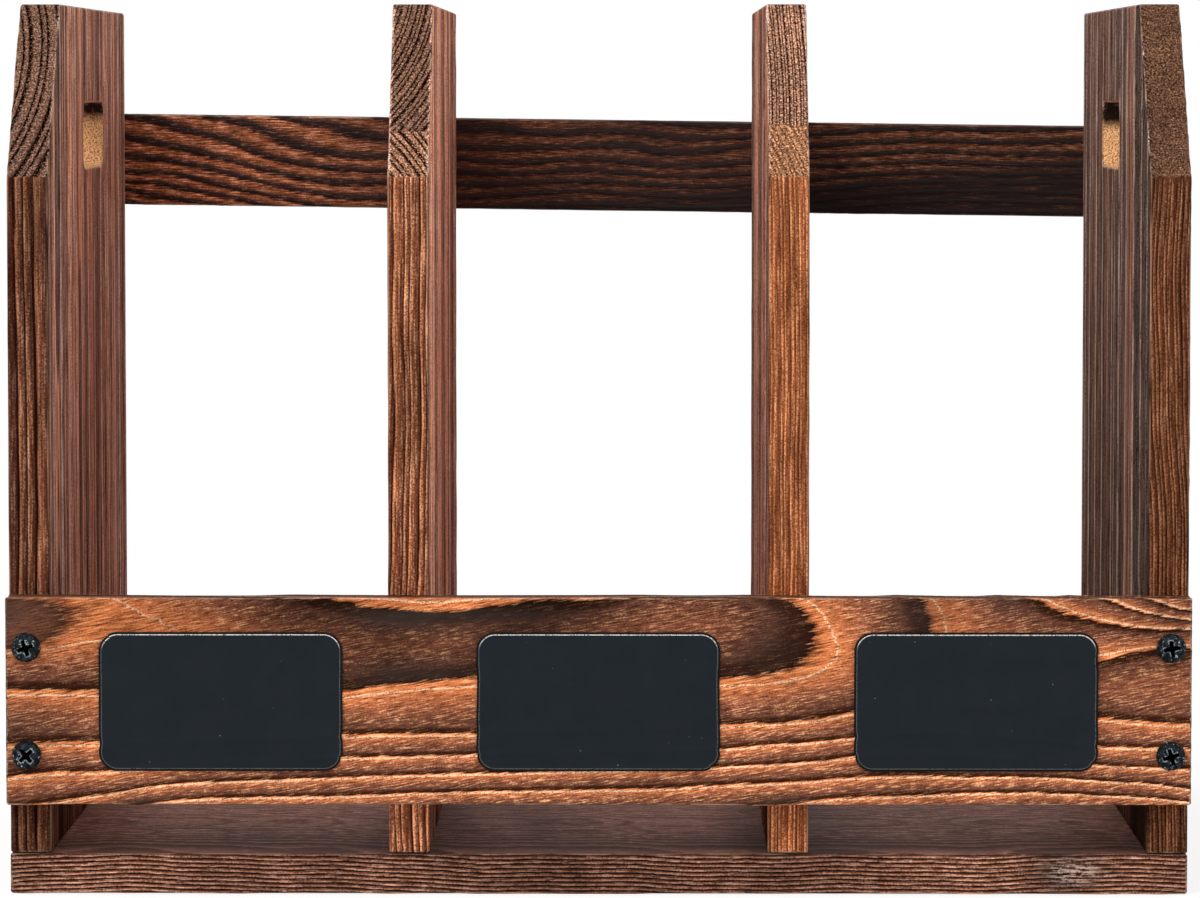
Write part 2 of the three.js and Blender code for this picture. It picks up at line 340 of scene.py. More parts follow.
def front_grain(points):
    """The front board: its figure on the face, drifting as the rings slant through the thickness."""
    x, y, z = (points / MM).T
    depth = y - FRONT_FACE / MM
    ring = front_field(x, z + 0.5 * depth) + 0.1 * depth
    nose = bump(x, z, 44, 76, 13, 12) * rise(ring, 1.6, 1.85) * rise(-ring, -2.01, -1.98)
    valley = rise(-ring, -2.02, -1.98) * bump(x, 0, -45, 0, 45, 1)
    char = patches(x, z, FRONT_CHAR) + 0.45 * nose + valley * patches(x, z, VALLEY_CHAR)
    tone = ripple(x, z, ((0.08, 61, 90, 0.4), (0.05, -37, 41, 1.9)))
    tone = tone + 0.16 * rise(-z, -58, -42) - 0.12 * rise(z, 58, 70) - 0.34 * valley * rise(z, 58, 62)
    tone = tone - 0.16 * rise(-x, 140, 150) + patches(x, z, FRONT_TONE)
    return Grain(ring, char, tone, plain=0.8 * bump(x, z, -165, 80, 10, 8))


def rail_grain(points):
    """The rail: close wavy rings, burnt darker towards the right and along the lower edge."""
    x, y, z = (points / MM).T
    depth = y - BOX["back_rail"][0][1] / MM
    ring = rail_field(x, z) + 0.22 * depth
    low = RAIL_MIDDLE / MM - z
    char = 0.7 * rise(x, -110, -40) - 0.24 * rise(x, 20, 120) + 0.5 * rise(low + 0.1 * x, 9, 17)
    char = char - 0.25 * bump(x, z, -20, 213, 22, 8) - 0.12 * bump(x, z, 100, 210, 40, 9)
    tone = ripple(x, z, ((0.1, 43, 19, 0.3), (0.07, 23, -9, 2.1))) + 0.4 * rise(-x, 60, 140)
    return Grain(ring, char, tone)


def base_grain(points):
    """The base: rings lie flat on the front edge, arch at its left end and curl up towards the back."""
    x, y, z = (points / MM).T
    back = y - BOX["base_board"][0][1] / MM
    arch = 1.9 * np.exp(-(((x + 130) / 60) ** 2)) - 2.2 * rise(x, -130, 70) + 0.9 * rise(x, 90, 170)
    lift = back**2 / 260
    ring = (z - arch + lift) / 1.28 + ripple(x, y, ((0.25, 71, 400, 0.2), (0.12, 29, 150, 1.3)))
    # A burnt patch on the front edge, and painted shade on the top under the front board, darkest near the
    # front
    char = 0.85 * bump(x, z, 132, 6, 9, 7) * rise(-back, -4, 0) + 0.45 * rise(-back, -50, -8) * (z > 11)
    tone = ripple(x, y, ((0.1, 83, 900, 0.9), (0.06, 31, 500, 2.6), (0.08, 900, 17, 0.7)))
    tone = tone - 0.3 * bump(x, 0, 10, 0, 70, 1) + 0.12 * bump(x, 0, 105, 0, 28, 1)
    above = rise(z, 11.2, 11.9)
    # Painted shade on the top round each upright's foot
    corners = sum(bump(x, 0, place / MM, 0, 15, 1) for place in UPRIGHT_X.values())
    tone = tone + (0.4 - 0.6 * corners) * above - 0.1 * (1 - above)
    frost = 0.7 * bump(x, z, 137, 6.5, 6, 3.2) * rise(-back, -4, 0)
    return Grain(ring, char, tone, warm=-0.9 * above, plain=0.5 * above, frost=frost)


# The staves glued into each upright, from its front edge back, in millimetres: the y where a stave
# begins, the place of its pith beside the board's middle and along y, its ring spacing, how much
# lighter it is, how much warmer and how much plainer.
STAVES = {
    "left_side": (
        (-130, -34, -96, 2.5, -0.44, -0.2, 0.0),
        (-62, 38, -30, 2.5, 0.05, 0.0, 0.2),
        (-8, -44, 20, 2.2, -0.05, 0.1, 0.2),
        (48, 40, 80, 2.6, 0.0, 0.0, 0.2),
    ),
    "divider_1": (
        (-130, -30, -150, 1.7, 0.05, 0.3, 0.0),
        (-112, -33, -76, 1.4, -0.05, 0.0, 0.0),
        (-55, 36, -20, 2.4, 0.0, 0.1, 0.2),
        (10, -40, 60, 2.2, -0.1, 0.0, 0.2),
    ),
    "divider_2": (
        (-130, -38, -137, 1.4, 0.42, 0.9, 0.4),
        (-110.5, -180, -104, 1.0, 0.2, 0.1, 0.0),
        (-52, 35, -30, 2.2, -0.1, 0.0, 0.2),
        (20, -45, 70, 2.5, 0.05, 0.0, 0.2),
    ),
    "right_side": (
        (-130, -36, -160, 0.9, -0.46, 0.45, 0.2),
        (-70, 40, -40, 2.3, 0.0, 0.0, 0.2),
        (-5, -38, 30, 2.4, -0.05, 0.1, 0.2),
        (52, 42, 90, 2.1, 0.05, 0.0, 0.2),
    ),
}
# How much darker the burnt slope is, for its lower stave and for its upper one
SLOPE_SHADES = {
    "left_side": (-0.13, -0.05),
    "divider_1": (-0.35, 0.2),
    "divider_2": (-0.1, -0.3),
    "right_side": (0.06, 0.22),
}
# How much lighter the faces inside the bays are, darker below none: painted light for their sheen at flat
# angles and for the light that the boards beside them keep off
INNER_PAINTED_LIGHT = {"left_side": 0.85, "divider_1": 2.1, "divider_2": 0.9, "right_side": -0.35}
# How much lighter the feet are that show under the front board
FOOT_TONES = {"left_side": -0.12, "divider_1": 1.0, "divider_2": 0.05, "right_side": 0.0}
# How broad the lines along the faces are: a divider's faces are seen at a flatter angle
LINE_WIDTHS = {"left_side": 1.35, "divider_1": 2.4, "divider_2": 3.8, "right_side": 1.5}
# Between which heights a hand slot's walls darken towards the top, in millimetres: partly burnt, partly
# painted shade under the slot's upper edge
SLOT_BURN_AND_SHADE = {"left_side": (220.5, 226), "right_side": (220.5, 222)}


def face_lines(y, z, width, phase):
    """Sparse long lines along a broad face, from 0 to 1: the tops of a sum of three waves."""
    waves = ((1.0, 15.1, 2900, phase), (0.9, 8.3, -2300, 2.3 * phase), (0.9, 5.7, 3100, 0.6 + phase))
    return rise(ripple(y / width, z, waves), 1.0, 1.45)


def upright_grain(name):
    """An upright: upright staves, each cut from rings round its own pith, r = distance / spacing."""
    middle = UPRIGHT_X[name] / MM
    phase = 1.7 * UPRIGHTS.index(name)

    def grain(points):
        """The wood at points."""
        x, y, z = (points / MM).T
        side = x - middle
        waves = ((1.1, 310, 900, phase), (0.5, 140, -300, 2 * phase), (0.18, 47, 120, 3 * phase))
        wander = ripple(z, y, waves)
        wood = np.zeros((4, len(points)))
        for begin, pith_side, pith_y, spacing, *shades in STAVES[name]:
            away = np.hypot(side + 0.35 * wander - pith_side, y + wander - pith_y) / spacing
            stave = (away + 0.2 * np.sin(2.6 * away + phase), *shades)
            wood = [np.where(y >= begin, new, old) for new, old in zip(stave, wood)]
        ring, tone, warm, plain = wood
        width = LINE_WIDTHS[name]
        faces = rise(np.abs(side), 5.0, 5.9) * rise(y, -123, -119)
        inner = faces * rise(-side * np.sign(middle), 5.0, 5.9) if name in SIDES else faces
        bands = ripple(y / width, z, ((0.22, 61, 2600, phase), (0.18, 29, -3300, 1.9 * phase)))
        dark = face_lines(y, z, width, phase + 4.1)
        # Painted light on the faces inside the bays, with the bands of their grain
        tone = tone + (bands + INNER_PAINTED_LIGHT[name]) * inner + 0.3 * bands * (faces - inner)
        tone = tone - (0.2 + 0.5 * inner) * dark * faces * (1 + tone)
        # Painted shade on the faces inside the bays, darkest low down under the front board
        low = rise(-z, -80, -25) * inner
        tone = tone * (1 - 0.7 * low) - 0.6 * low
        tone = tone + FOOT_TONES[name] * rise(-z, -30, -26) * rise(-y, 116, 122)
        # Painted sheen on the faces inside the bays: a pale veil with pale lines, kept out of the painted
        # shade low down, and the faces made greyer with it
        frost = inner * (1 - low) * (0.24 + 1.3 * face_lines(y, z, width, phase + 2.2))
        warm = warm - 1.1 * inner
        depth = ((z - 207) * 40 - (y + 122.5) * 50) / 64
        slope = rise(depth, -1.3, -0.5) * (z > 206)
        lower, upper = SLOPE_SHADES[name]
        tone = tone - np.where(y < STAVES[name][1][0], lower, upper) * slope
        if name == "divider_2":
            tone = tone - 0.4 * slope * bump(side, 0, -3.6, 0, 1.8, 1) * (y > -110.5)
        if name == "right_side":
            plain = np.maximum(plain, 0.9 * slope * rise(side, -5.9, -3.5))
        char = 0.35 * rise(np.abs(side), 5.2, 6.1) * rise(-y, 114, 122)
        if name in SIDES:
            along = np.abs(y - SLOT_Y / MM) < SLOT_LENGTH / 2 / MM + 0.01
            up = np.abs(z - SLOT_Z / MM) < SLOT_HEIGHT / 2 / MM + 0.01
            cut = along & up & (np.abs(side) < 5.95)
            # A hand slot's walls darken towards the top: partly burnt, partly painted shade under the
            # slot's upper edge
            char = np.maximum(char, cut * rise(z, *SLOT_BURN_AND_SHADE[name]))
        return Grain(ring, char, tone, warm, plain, frost)

    return grain


# Meshes


def ridge(ring):
    """How proud the brushed grain stands: 1 on each ring's hard edge, falling away to each side."""
    return np.exp(3 * (np.cos(TURN * (ring - 0.03)) - 1))


def cell_corners(rows, columns, closed=False):
    """The indices of the four corners of every cell of a grid, going round each."""
    index = np.arange(rows * columns).reshape(rows, columns)
    if closed:
        index = np.concatenate([index, index[:, :1]], axis=1)
    return index[:-1, :-1], index[1:, :-1], index[1:, 1:], index[:-1, 1:]


class Surface:
    """Grids of points that are welded into one closed mesh."""

    def __init__(self):
        self.grids = []
        self.count = 0

    def add(self, points, normals, relief=1.0, fresh=0.0, worn=0.0, keep=None, closed=False):
        """Adds a grid, rows by columns, whose triangles are turned to face along its normals.

        relief and the next two shares are per point: how much of the carving applies, how newly cut
        the wood is and how far its finish is bared by wear. The share for newly cut wood also carries
        painted light and shade, the labels' highlight and shadow and the screws' recess shade; the share
        for wear also carries the screws' painted glint. keep leaves cells out, and closed joins the last
        column to the first.
        """
        rows, columns = points.shape[:2]
        a, b, c, d = cell_corners(rows, columns, closed)
        if keep is not None:
            a, b, c, d = a[keep], b[keep], c[keep], d[keep]
        halves = [np.stack(half, -1).reshape(-1, 3) for half in ((a, b, c), (a, c, d))]
        triangles = np.concatenate(halves)
        flat = points.reshape(-1, 3)
        facing = np.broadcast_to(normals, points.shape).reshape(-1, 3)
        corners = flat[triangles]
        area = np.cross(corners[:, 1] - corners[:, 0], corners[:, 2] - corners[:, 0])
        if (area * facing[triangles].sum(1)).sum() < 0:
            triangles = triangles[:, ::-1]
        shares = [np.broadcast_to(share, (rows, columns)).reshape(-1) for share in (relief, fresh, worn)]
        self.grids.append((flat, facing, *shares, triangles + self.count))
        self.count += len(flat)

    def weld(self):
        """Points that lie together become one, and triangles that this leaves with no area go."""
        joined = (np.concatenate(part) for part in zip(*self.grids))
        points, normals, relief, fresh, worn, triangles = joined
        keys = np.round(points / (1e-4 * MM)).astype(np.int64)
        _, first, same = np.unique(keys, axis=0, return_index=True, return_inverse=True)
        triangles = same.reshape(-1)[triangles]
        real = (triangles != np.roll(triangles, 1, axis=1)).all(1)
        triangles = triangles[real]
        sides = [triangles[:, pair] for pair in ([0, 1], [1, 2], [2, 0])]
        edges = np.sort(np.concatenate(sides), axis=1)
        _, uses = np.unique(edges, axis=0, return_counts=True)
        if (uses != 2).any():
            raise RuntimeError(f"{(uses != 2).sum()} edges of a surface aren't shared by two faces")
        return points[first], normals[first], relief[first], fresh[first], worn[first], triangles


def make_piece(name, points, triangles, material, nodes, attributes):
    """A mesh object at the origin that rides on the body and stands for its CAD nodes."""
    mesh = bpy.data.meshes.new(name)
    mesh.vertices.add(len(points))
    mesh.vertices.foreach_set("co", points.astype(np.float32).ravel())
    mesh.loops.add(3 * len(triangles))
    mesh.loops.foreach_set("vertex_index", triangles.astype(np.int32).ravel())
    mesh.polygons.add(len(triangles))
    mesh.polygons.foreach_set("loop_start", np.arange(0, 3 * len(triangles), 3, dtype=np.int32))
    mesh.polygons.foreach_set("use_smooth", np.ones(len(triangles), bool))
    for key, values in attributes.items():
        layer = mesh.attributes.new(key, "FLOAT", "POINT")
        layer.data.foreach_set("value", values.astype(np.float32))
    mesh.update()
    mesh.validate()
    mesh.materials.append(material)
    piece = bpy.data.objects.new(name, mesh)
    bpy.context.scene.collection.objects.link(piece)
    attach(piece, "root")
    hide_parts(*nodes)


def lattice_lines(low, high, step, edge, marks=()):
    """Places of the lattice lines along one direction.

    Even steps, with closer lines in the rounded edges at both ends and a line on every mark.
    """
    ends = [low, low + 0.45 * edge, low + edge, high - edge, high - 0.45 * edge, high]
    fixed = np.unique(np.round(np.concatenate([ends, marks]), 9))
    even = np.linspace(low + edge, high - edge, max(2, round((high - low) / step)) + 1)
    far = np.abs(even[:, None] - fixed).min(1) > step / 3
    return np.sort(np.concatenate([fixed, even[far]]))


class Bore:
    """A hole cut square to one face of a board, through a window left out of its lattice.

    across: the face's axis, 0, 1 or 2. side: 0 for its low face and 1 for its high one. centre:
    where, along the other two axes. core: half the lengths of a slot's straight parts, none for a
    round hole. rows: (radius, depth, turn) from the face inward, where turn goes from 0 on the face to 1
    on a wall square to it. A hole that goes right through ends in the opposite face's window.
    """

    def __init__(self, across, side, centre, window, rows, core=(0.0, 0.0), through=False, fresh=0.0):
        self.across = across
        self.side = side
        self.centre = centre
        self.window = window
        self.rows = rows
        self.core = core
        self.through = through
        self.fresh = fresh


class Board:
    """A board as a lattice of points on its surface, in its own directions u, v and w.

    u and v span its outline and w its thickness. The outline is a rectangle, or one whose corner
    at low u and high v is cut off by a slope. Its edges are rounded by swelling a smaller board:
    each lattice point goes to the place at the edge's radius from the nearest point of that one.
    """

    def __init__(self, low, high, order, edge, steps, slope=(0.0, 0.0), bores=(), marks=()):
        self.low, self.high = np.array(low, float), np.array(high, float)
        self.order = order
        self.edge = edge
        self.slope = slope
        self.bores = bores
        span = self.high - self.low
        lines = [list(marks), [], []]
        if slope[0]:
            lines[0] += [self.low[0] + slope[0] + shift for shift in (-edge / 2, 0, edge / 2)]
        for bore in bores:
            for axis, ends in self.window_ends(bore):
                lines[axis] += ends
        self.u = lattice_lines(self.low[0], self.high[0], steps[0], edge, lines[0])
        self.t = lattice_lines(0, 1, steps[1] / span[1], edge / span[1], lines[1])
        self.w = lattice_lines(self.low[2], self.high[2], steps[2], edge, lines[2])

    @staticmethod
    def others(axis):
        """The two directions along a face, in the order that its lattice has."""
        return ((1, 2), (2, 0), (0, 1))[axis]

    def top(self, u):
        """How far up the outline reaches at u."""
        if not self.slope[0]:
            return np.full(np.shape(u), self.high[1])
        rising = (u - self.low[0]) / self.slope[0] * self.slope[1]
        return np.minimum(self.high[1], self.high[1] - self.slope[1] + rising)

    def share_up(self, v, bore):
        """The lattice's share of the height for a place v at a bore."""
        u = (self.low[0], self.high[0])[bore.side] if bore.across == 0 else bore.centre[0]
        return (v - self.low[1]) / (float(self.top(np.array(u))) - self.low[1])

    def window_ends(self, bore):
        """For each direction of a bore's face, both ends of its window in the lattice's measure."""
        for axis, reach, centre in zip(self.others(bore.across), bore.window, bore.centre):
            ends = [centre - reach, centre + reach]
            if axis == 1:
                ends = [self.share_up(end, bore) for end in ends]
            yield axis, ends

    def corners(self, inset):
        """The outline's corners, anticlockwise, with every side moved inward."""
        (left, low, _), (right, high, _) = self.low, self.high
        across, up = self.slope
        outline = [(left, low), (right, low), (right, high)]
        outline += [(left + across, high), (left, high - up)] if across else [(left, high)]
        outline = np.array(outline)
        along = np.roll(outline, -1, axis=0) - outline
        along /= np.linalg.norm(along, axis=1, keepdims=True)
        inward = np.stack([-along[:, 1], along[:, 0]], axis=1)
        reach = (inward * outline).sum(1) + inset
        before, before_reach = np.roll(inward, 1, axis=0), np.roll(reach, 1)
        cross = before[:, 0] * inward[:, 1] - before[:, 1] * inward[:, 0]
        u = (before_reach * inward[:, 1] - reach * before[:, 1]) / cross
        v = (before[:, 0] * reach - inward[:, 0] * before_reach) / cross
        return np.stack([u, v], axis=1)

    def round_off(self, points):
        """Rounds the edges off, and gives each point's outward direction."""
        u, v, w = points[..., 0], points[..., 1], points[..., 2]
        near_u, near_v = u.copy(), v.copy()
        best = np.full(u.shape, np.inf)
        inside = np.ones(u.shape, bool)
        corners = self.corners(self.edge)
        for (a_u, a_v), (b_u, b_v) in zip(corners, np.roll(corners, -1, axis=0)):
            along_u, along_v = b_u - a_u, b_v - a_v
            inside &= along_u * (v - a_v) - along_v * (u - a_u) >= 0
            share = ((u - a_u) * along_u + (v - a_v) * along_v) / (along_u**2 + along_v**2)
            share = np.clip(share, 0, 1)
            place_u, place_v = a_u + share * along_u, a_v + share * along_v
            distance = (u - place_u) ** 2 + (v - place_v) ** 2
            closer = distance < best
            best = np.where(closer, distance, best)
            near_u, near_v = np.where(closer, place_u, near_u), np.where(closer, place_v, near_v)
        near_u, near_v = np.where(inside, u, near_u), np.where(inside, v, near_v)
        near_w = np.clip(w, self.low[2] + self.edge, self.high[2] - self.edge)
        near = np.stack([near_u, near_v, near_w], axis=-1)
        out = points - near
        out /= np.maximum(np.linalg.norm(out, axis=-1, keepdims=True), 1e-12)
        return near + self.edge * out, out

    def face(self, axis, side):
        """The lattice points of one face: rows and columns along the other two directions."""
        lines = (self.u, self.t, self.w)
        first, second = self.others(axis)
        values = [None, None, None]
        values[first], values[second] = np.meshgrid(lines[first], lines[second], indexing="ij")
        values[axis] = np.full(values[first].shape, lines[axis][-side])
        u, t, w = values
        v = self.low[1] + t * (self.top(u) - self.low[1])
        return np.stack([u, v, w], axis=-1)

    def window(self, bore, side):
        """Which cells of a face a bore's window takes, and the border round it as lattice indices."""
        first, second = self.others(bore.across)
        lines = (self.u, self.t, self.w)
        found = []
        for axis, ends in self.window_ends(bore):
            found.append([int(np.abs(lines[axis] - end).argmin()) for end in ends])
        (a0, a1), (b0, b1) = found
        cells = np.zeros((len(lines[first]) - 1, len(lines[second]) - 1), bool)
        cells[a0:a1, b0:b1] = True
        down, across = np.arange(a0, a1), np.arange(b0, b1)
        rows = (down, np.full(b1 - b0, a1), down[::-1] + 1, np.full(b1 - b0, a0))
        columns = (np.full(a1 - a0, b0), across, np.full(a1 - a0, b1), across[::-1] + 1)
        return cells, np.concatenate(rows), np.concatenate(columns)

    def add_bore(self, surface, bore):
        """The wall of a bore: the window's border drawn in to the hole's outline, then its rows."""
        first, second = self.others(bore.across)
        _, rows, columns = self.window(bore, bore.side)
        border = self.face(bore.across, bore.side)[rows, columns]
        out = np.zeros(3)
        out[bore.across] = 1 if bore.side else -1
        away_a, away_b = border[:, first] - bore.centre[0], border[:, second] - bore.centre[1]
        core_a, core_b = (np.clip(part, -c, c) for part, c in zip((away_a, away_b), bore.core))
        away = np.zeros_like(border)
        away[:, first], away[:, second] = away_a - core_a, away_b - core_b
        away /= np.linalg.norm(away, axis=1, keepdims=True)
        heart = border.copy()
        heart[:, first], heart[:, second] = bore.centre[0] + core_a, bore.centre[1] + core_b
        mouth = heart + bore.rows[0][0] * away
        points = [border + share * (mouth - border) for share in (0, 1 / 3, 2 / 3)]
        normals = [np.broadcast_to(out, border.shape)] * 3
        relief = [1, 2 / 3, 1 / 3]
        fresh = [0, 0, 0]
        worn = [0, 0, 0]
        for radius, depth, turn in bore.rows:
            points.append(heart + radius * away - depth * out)
            normals.append((1 - turn) * out - turn * away)
            relief.append(0)
            fresh.append(bore.fresh * turn)
            worn.append(4 * bore.fresh * turn * (1 - turn))
        if bore.through:
            thickness = self.high[bore.across] - self.low[bore.across]
            far = border - thickness * out
            far_mouth = points[-1]
            for share in (1 / 3, 2 / 3, 1):
                points.append(far_mouth + share * (far - far_mouth))
                normals.append(np.broadcast_to(-out, border.shape))
                relief.append(share)
                fresh.append(0)
                worn.append(0)
        points, normals = np.stack(points), np.stack(normals)
        shares = (np.array(part, float)[:, None] for part in (relief, fresh, worn))
        self.add(surface, points, normals, *shares, closed=True)

    def add(self, surface, points, normals, *shares, **settings):
        """Adds a grid in the board's own directions to a surface in the world's."""
        surface.add(points[..., self.order], normals[..., self.order], *shares, **settings)

    def wear(self, out):
        """How far each direction lies from the nearest face's own, 1 for an edge square across."""
        across, up = self.slope
        slope = np.array([-up, across, 0]) / math.hypot(up, across) if across else np.zeros(3)
        nearest = np.maximum(np.abs(out).max(-1), out @ slope)
        return np.clip((1 - nearest) / (1 - math.sqrt(0.5)), 0, 1)

    def surface(self):
        """The whole closed surface, with its bores."""
        made = Surface()
        for axis in range(3):
            for side in (0, 1):
                points, out = self.round_off(self.face(axis, side))
                keep = np.ones((points.shape[0] - 1, points.shape[1] - 1), bool)
                for bore in self.bores:
                    if bore.across == axis and (bore.side == side or bore.through):
                        keep &= ~self.window(bore, side)[0]
                self.add(made, points, out, worn=self.wear(out), keep=keep)
        for bore in self.bores:
            self.add_bore(made, bore)
        return made


def round_hole(across, side, centre, radius, depth):
    """A blind round hole with a flat end."""
    rows = ((radius, 0, 0), (radius, 0, 1), (radius, depth, 1), (radius, depth, 0), (0, depth, 0))
    return Bore(across, side, centre, (HOLE_WINDOW, HOLE_WINDOW), rows)


def through_hole(across, centre, radius, thickness):
    """A straight round hole right through a board."""
    rows = ((radius, 0, 0), (radius, 0.5 * thickness, 1), (radius, thickness, 0))
    return Bore(across, 0, centre, (HOLE_WINDOW, HOLE_WINDOW), rows, through=True)


def hand_slot(thickness, edge):
    """The hand slot right through a side board, with its two rims rounded over."""
    rim = [(edge * (1 - math.sin(a)), edge * (1 - math.cos(a)), a / (math.pi / 2)) for a in RIM_ANGLES]
    radius = SLOT_CORNER
    rows = [(radius + grow, depth, turn) for grow, depth, turn in rim]
    rows += [(radius, depth, 1) for depth in np.linspace(edge, thickness - edge, 10)[1:-1]]
    rows += [(radius + grow, thickness - depth, turn) for grow, depth, turn in reversed(rim)]
    window = (SLOT_LENGTH / 2 + SLOT_MARGIN, SLOT_HEIGHT / 2 + SLOT_MARGIN)
    core = (SLOT_LENGTH / 2 - SLOT_CORNER, SLOT_HEIGHT / 2 - SLOT_CORNER)
    return Bore(2, 0, (SLOT_Y, SLOT_Z), window, rows, core, through=True, fresh=1.0)


# How much of its length along the grain a fibre frays a ring's edge across the grain
FRAY_ACROSS = 0.22


def build_board(name, board, grain, relief_depth, grain_axis, material, tilt=None):
    """A board's mesh: its surface carved inward between the ridges of its grain.

    Each point moves in along its outward direction by the depth times one less the ridge.
    """
    points, out, relief, fresh, worn, triangles = board.surface().weld()
    wood = grain(points)
    slopes = ring_slopes(grain, points, wood.ring)
    in_face = slopes - out.T * (out.T * slopes).sum(0)
    fraying = np.where(np.arange(3) == grain_axis, 1, FRAY_ACROSS)
    end = np.abs(out[:, grain_axis])
    relief = relief * (1 - 0.8 * rise(end, 0.9, 1))
    carved = points - out * (relief_depth * relief * (1 - ridge(wood.ring)))[:, None]
    if tilt is not None:
        carved = tilt(carved)
    attributes = {
        "ring": wood.ring,
        "rate": np.clip(np.linalg.norm(in_face, axis=0), 0.004, 3),
        "steep": np.minimum(np.linalg.norm(slopes * fraying[:, None], axis=0), 3),
        "end": end,
        "char": np.clip(wood.char, 0, 1),
        "tone": wood.tone,
        "fresh": fresh,
        "worn": worn,
        "warm": wood.warm,
        "plain": wood.plain,
        "frost": wood.frost,
    }
    make_piece(name, carved, triangles, material, [name.removesuffix("_wood")], attributes)


# Shaders


class Wire:
    """An output socket of a shader. Ordinary arithmetic on it adds Math nodes."""

    def __init__(self, shader, socket):
        self.shader = shader
        self.socket = socket

    def math(self, operation, *values):
        """A Math node on values that are numbers or wires."""
        return self.shader.node("ShaderNodeMath", {"operation": operation}, dict(enumerate(values)))

    def __add__(self, other):
        return self.math("ADD", self, other)

    def __sub__(self, other):
        return self.math("SUBTRACT", self, other)

    def __rsub__(self, other):
        return self.math("SUBTRACT", other, self)

    def __mul__(self, other):
        return self.math("MULTIPLY", self, other)

    def __truediv__(self, other):
        return self.math("DIVIDE", self, other)

    __radd__ = __add__
    __rmul__ = __mul__

    def fraction(self):
        """What it has beyond a whole number."""
        return self.math("FRACT", self)

    def limited(self):
        """Held between 0 and 1."""
        return self.math("MINIMUM", self.math("MAXIMUM", self, 0.0), 1.0)

    def size(self):
        """Without its sign."""
        return self.math("ABSOLUTE", self)


class Shader:
    """The nodes of one material, or of the world."""

    def __init__(self, owner):
        owner.use_nodes = True
        self.owner = owner
        self.tree = owner.node_tree
        self.tree.nodes.clear()

    def node(self, kind, settings=None, sockets=None, output=0):
        """Adds a node with its settings and the values or links of its sockets, and gives an output."""
        node = self.tree.nodes.new(kind)
        for key, value in (settings or {}).items():
            if key == "stops":
                self.set_stops(node.color_ramp, value)
            else:
                setattr(node, key, value)
        for key, value in (sockets or {}).items():
            if isinstance(value, Wire):
                self.tree.links.new(value.socket, node.inputs[key])
            else:
                node.inputs[key].default_value = value
        return Wire(self, node.outputs[output]) if node.outputs else None

    @staticmethod
    def set_stops(ramp, stops):
        """Gives a colour ramp its stops, each a place and a colour."""
        while len(ramp.elements) < len(stops):
            ramp.elements.new(1.0)
        for element, (place, colour) in zip(ramp.elements, stops):
            element.position = place
            element.color = (*colour, 1.0)

    def attribute(self, name):
        """A number that the mesh keeps at every point."""
        return self.node("ShaderNodeAttribute", {"attribute_name": name}, output="Fac")

    def place(self, size, turn=(0.0, 0.0, 0.0)):
        """Object coordinates divided by a size along each axis, after a turn."""
        place = self.node("ShaderNodeTexCoord", output="Object")
        sockets = {"Vector": place, "Rotation": turn}
        turned = self.node("ShaderNodeMapping", {"vector_type": "TEXTURE"}, sockets)
        return self.node("ShaderNodeVectorMath", {"operation": "DIVIDE"}, {0: turned, 1: size})

    def noise(self, place, detail, roughness):
        """Soft noise whose patches are about as large as the place's unit."""
        sockets = {"Vector": place, "Scale": 1.0, "Detail": detail, "Roughness": roughness}
        return self.node("ShaderNodeTexNoise", None, sockets)

    def between(self, value, low, high):
        """0 below low, 1 above high, and smooth in between. low may be the larger."""
        sockets = {"Value": value, "From Min": low, "From Max": high}
        return self.node("ShaderNodeMapRange", {"interpolation_type": "SMOOTHSTEP"}, sockets)

    def mix(self, share, one, other, blend="MIX"):
        """From one colour to the other by a share."""
        settings = {"data_type": "RGBA", "blend_type": blend}
        sockets = {0: share, 6: opaque(one), 7: opaque(other)}
        return self.node("ShaderNodeMix", settings, sockets, output=2)

    def finish(self, surface):
        """Sends a surface to the output and gives the material."""
        self.node("ShaderNodeOutputMaterial", None, {"Surface": surface})
        return self.owner


def opaque(colour):
    """A colour with its alpha, or a wire as it is."""
    return colour if isinstance(colour, Wire) else (*colour[:3], 1.0)


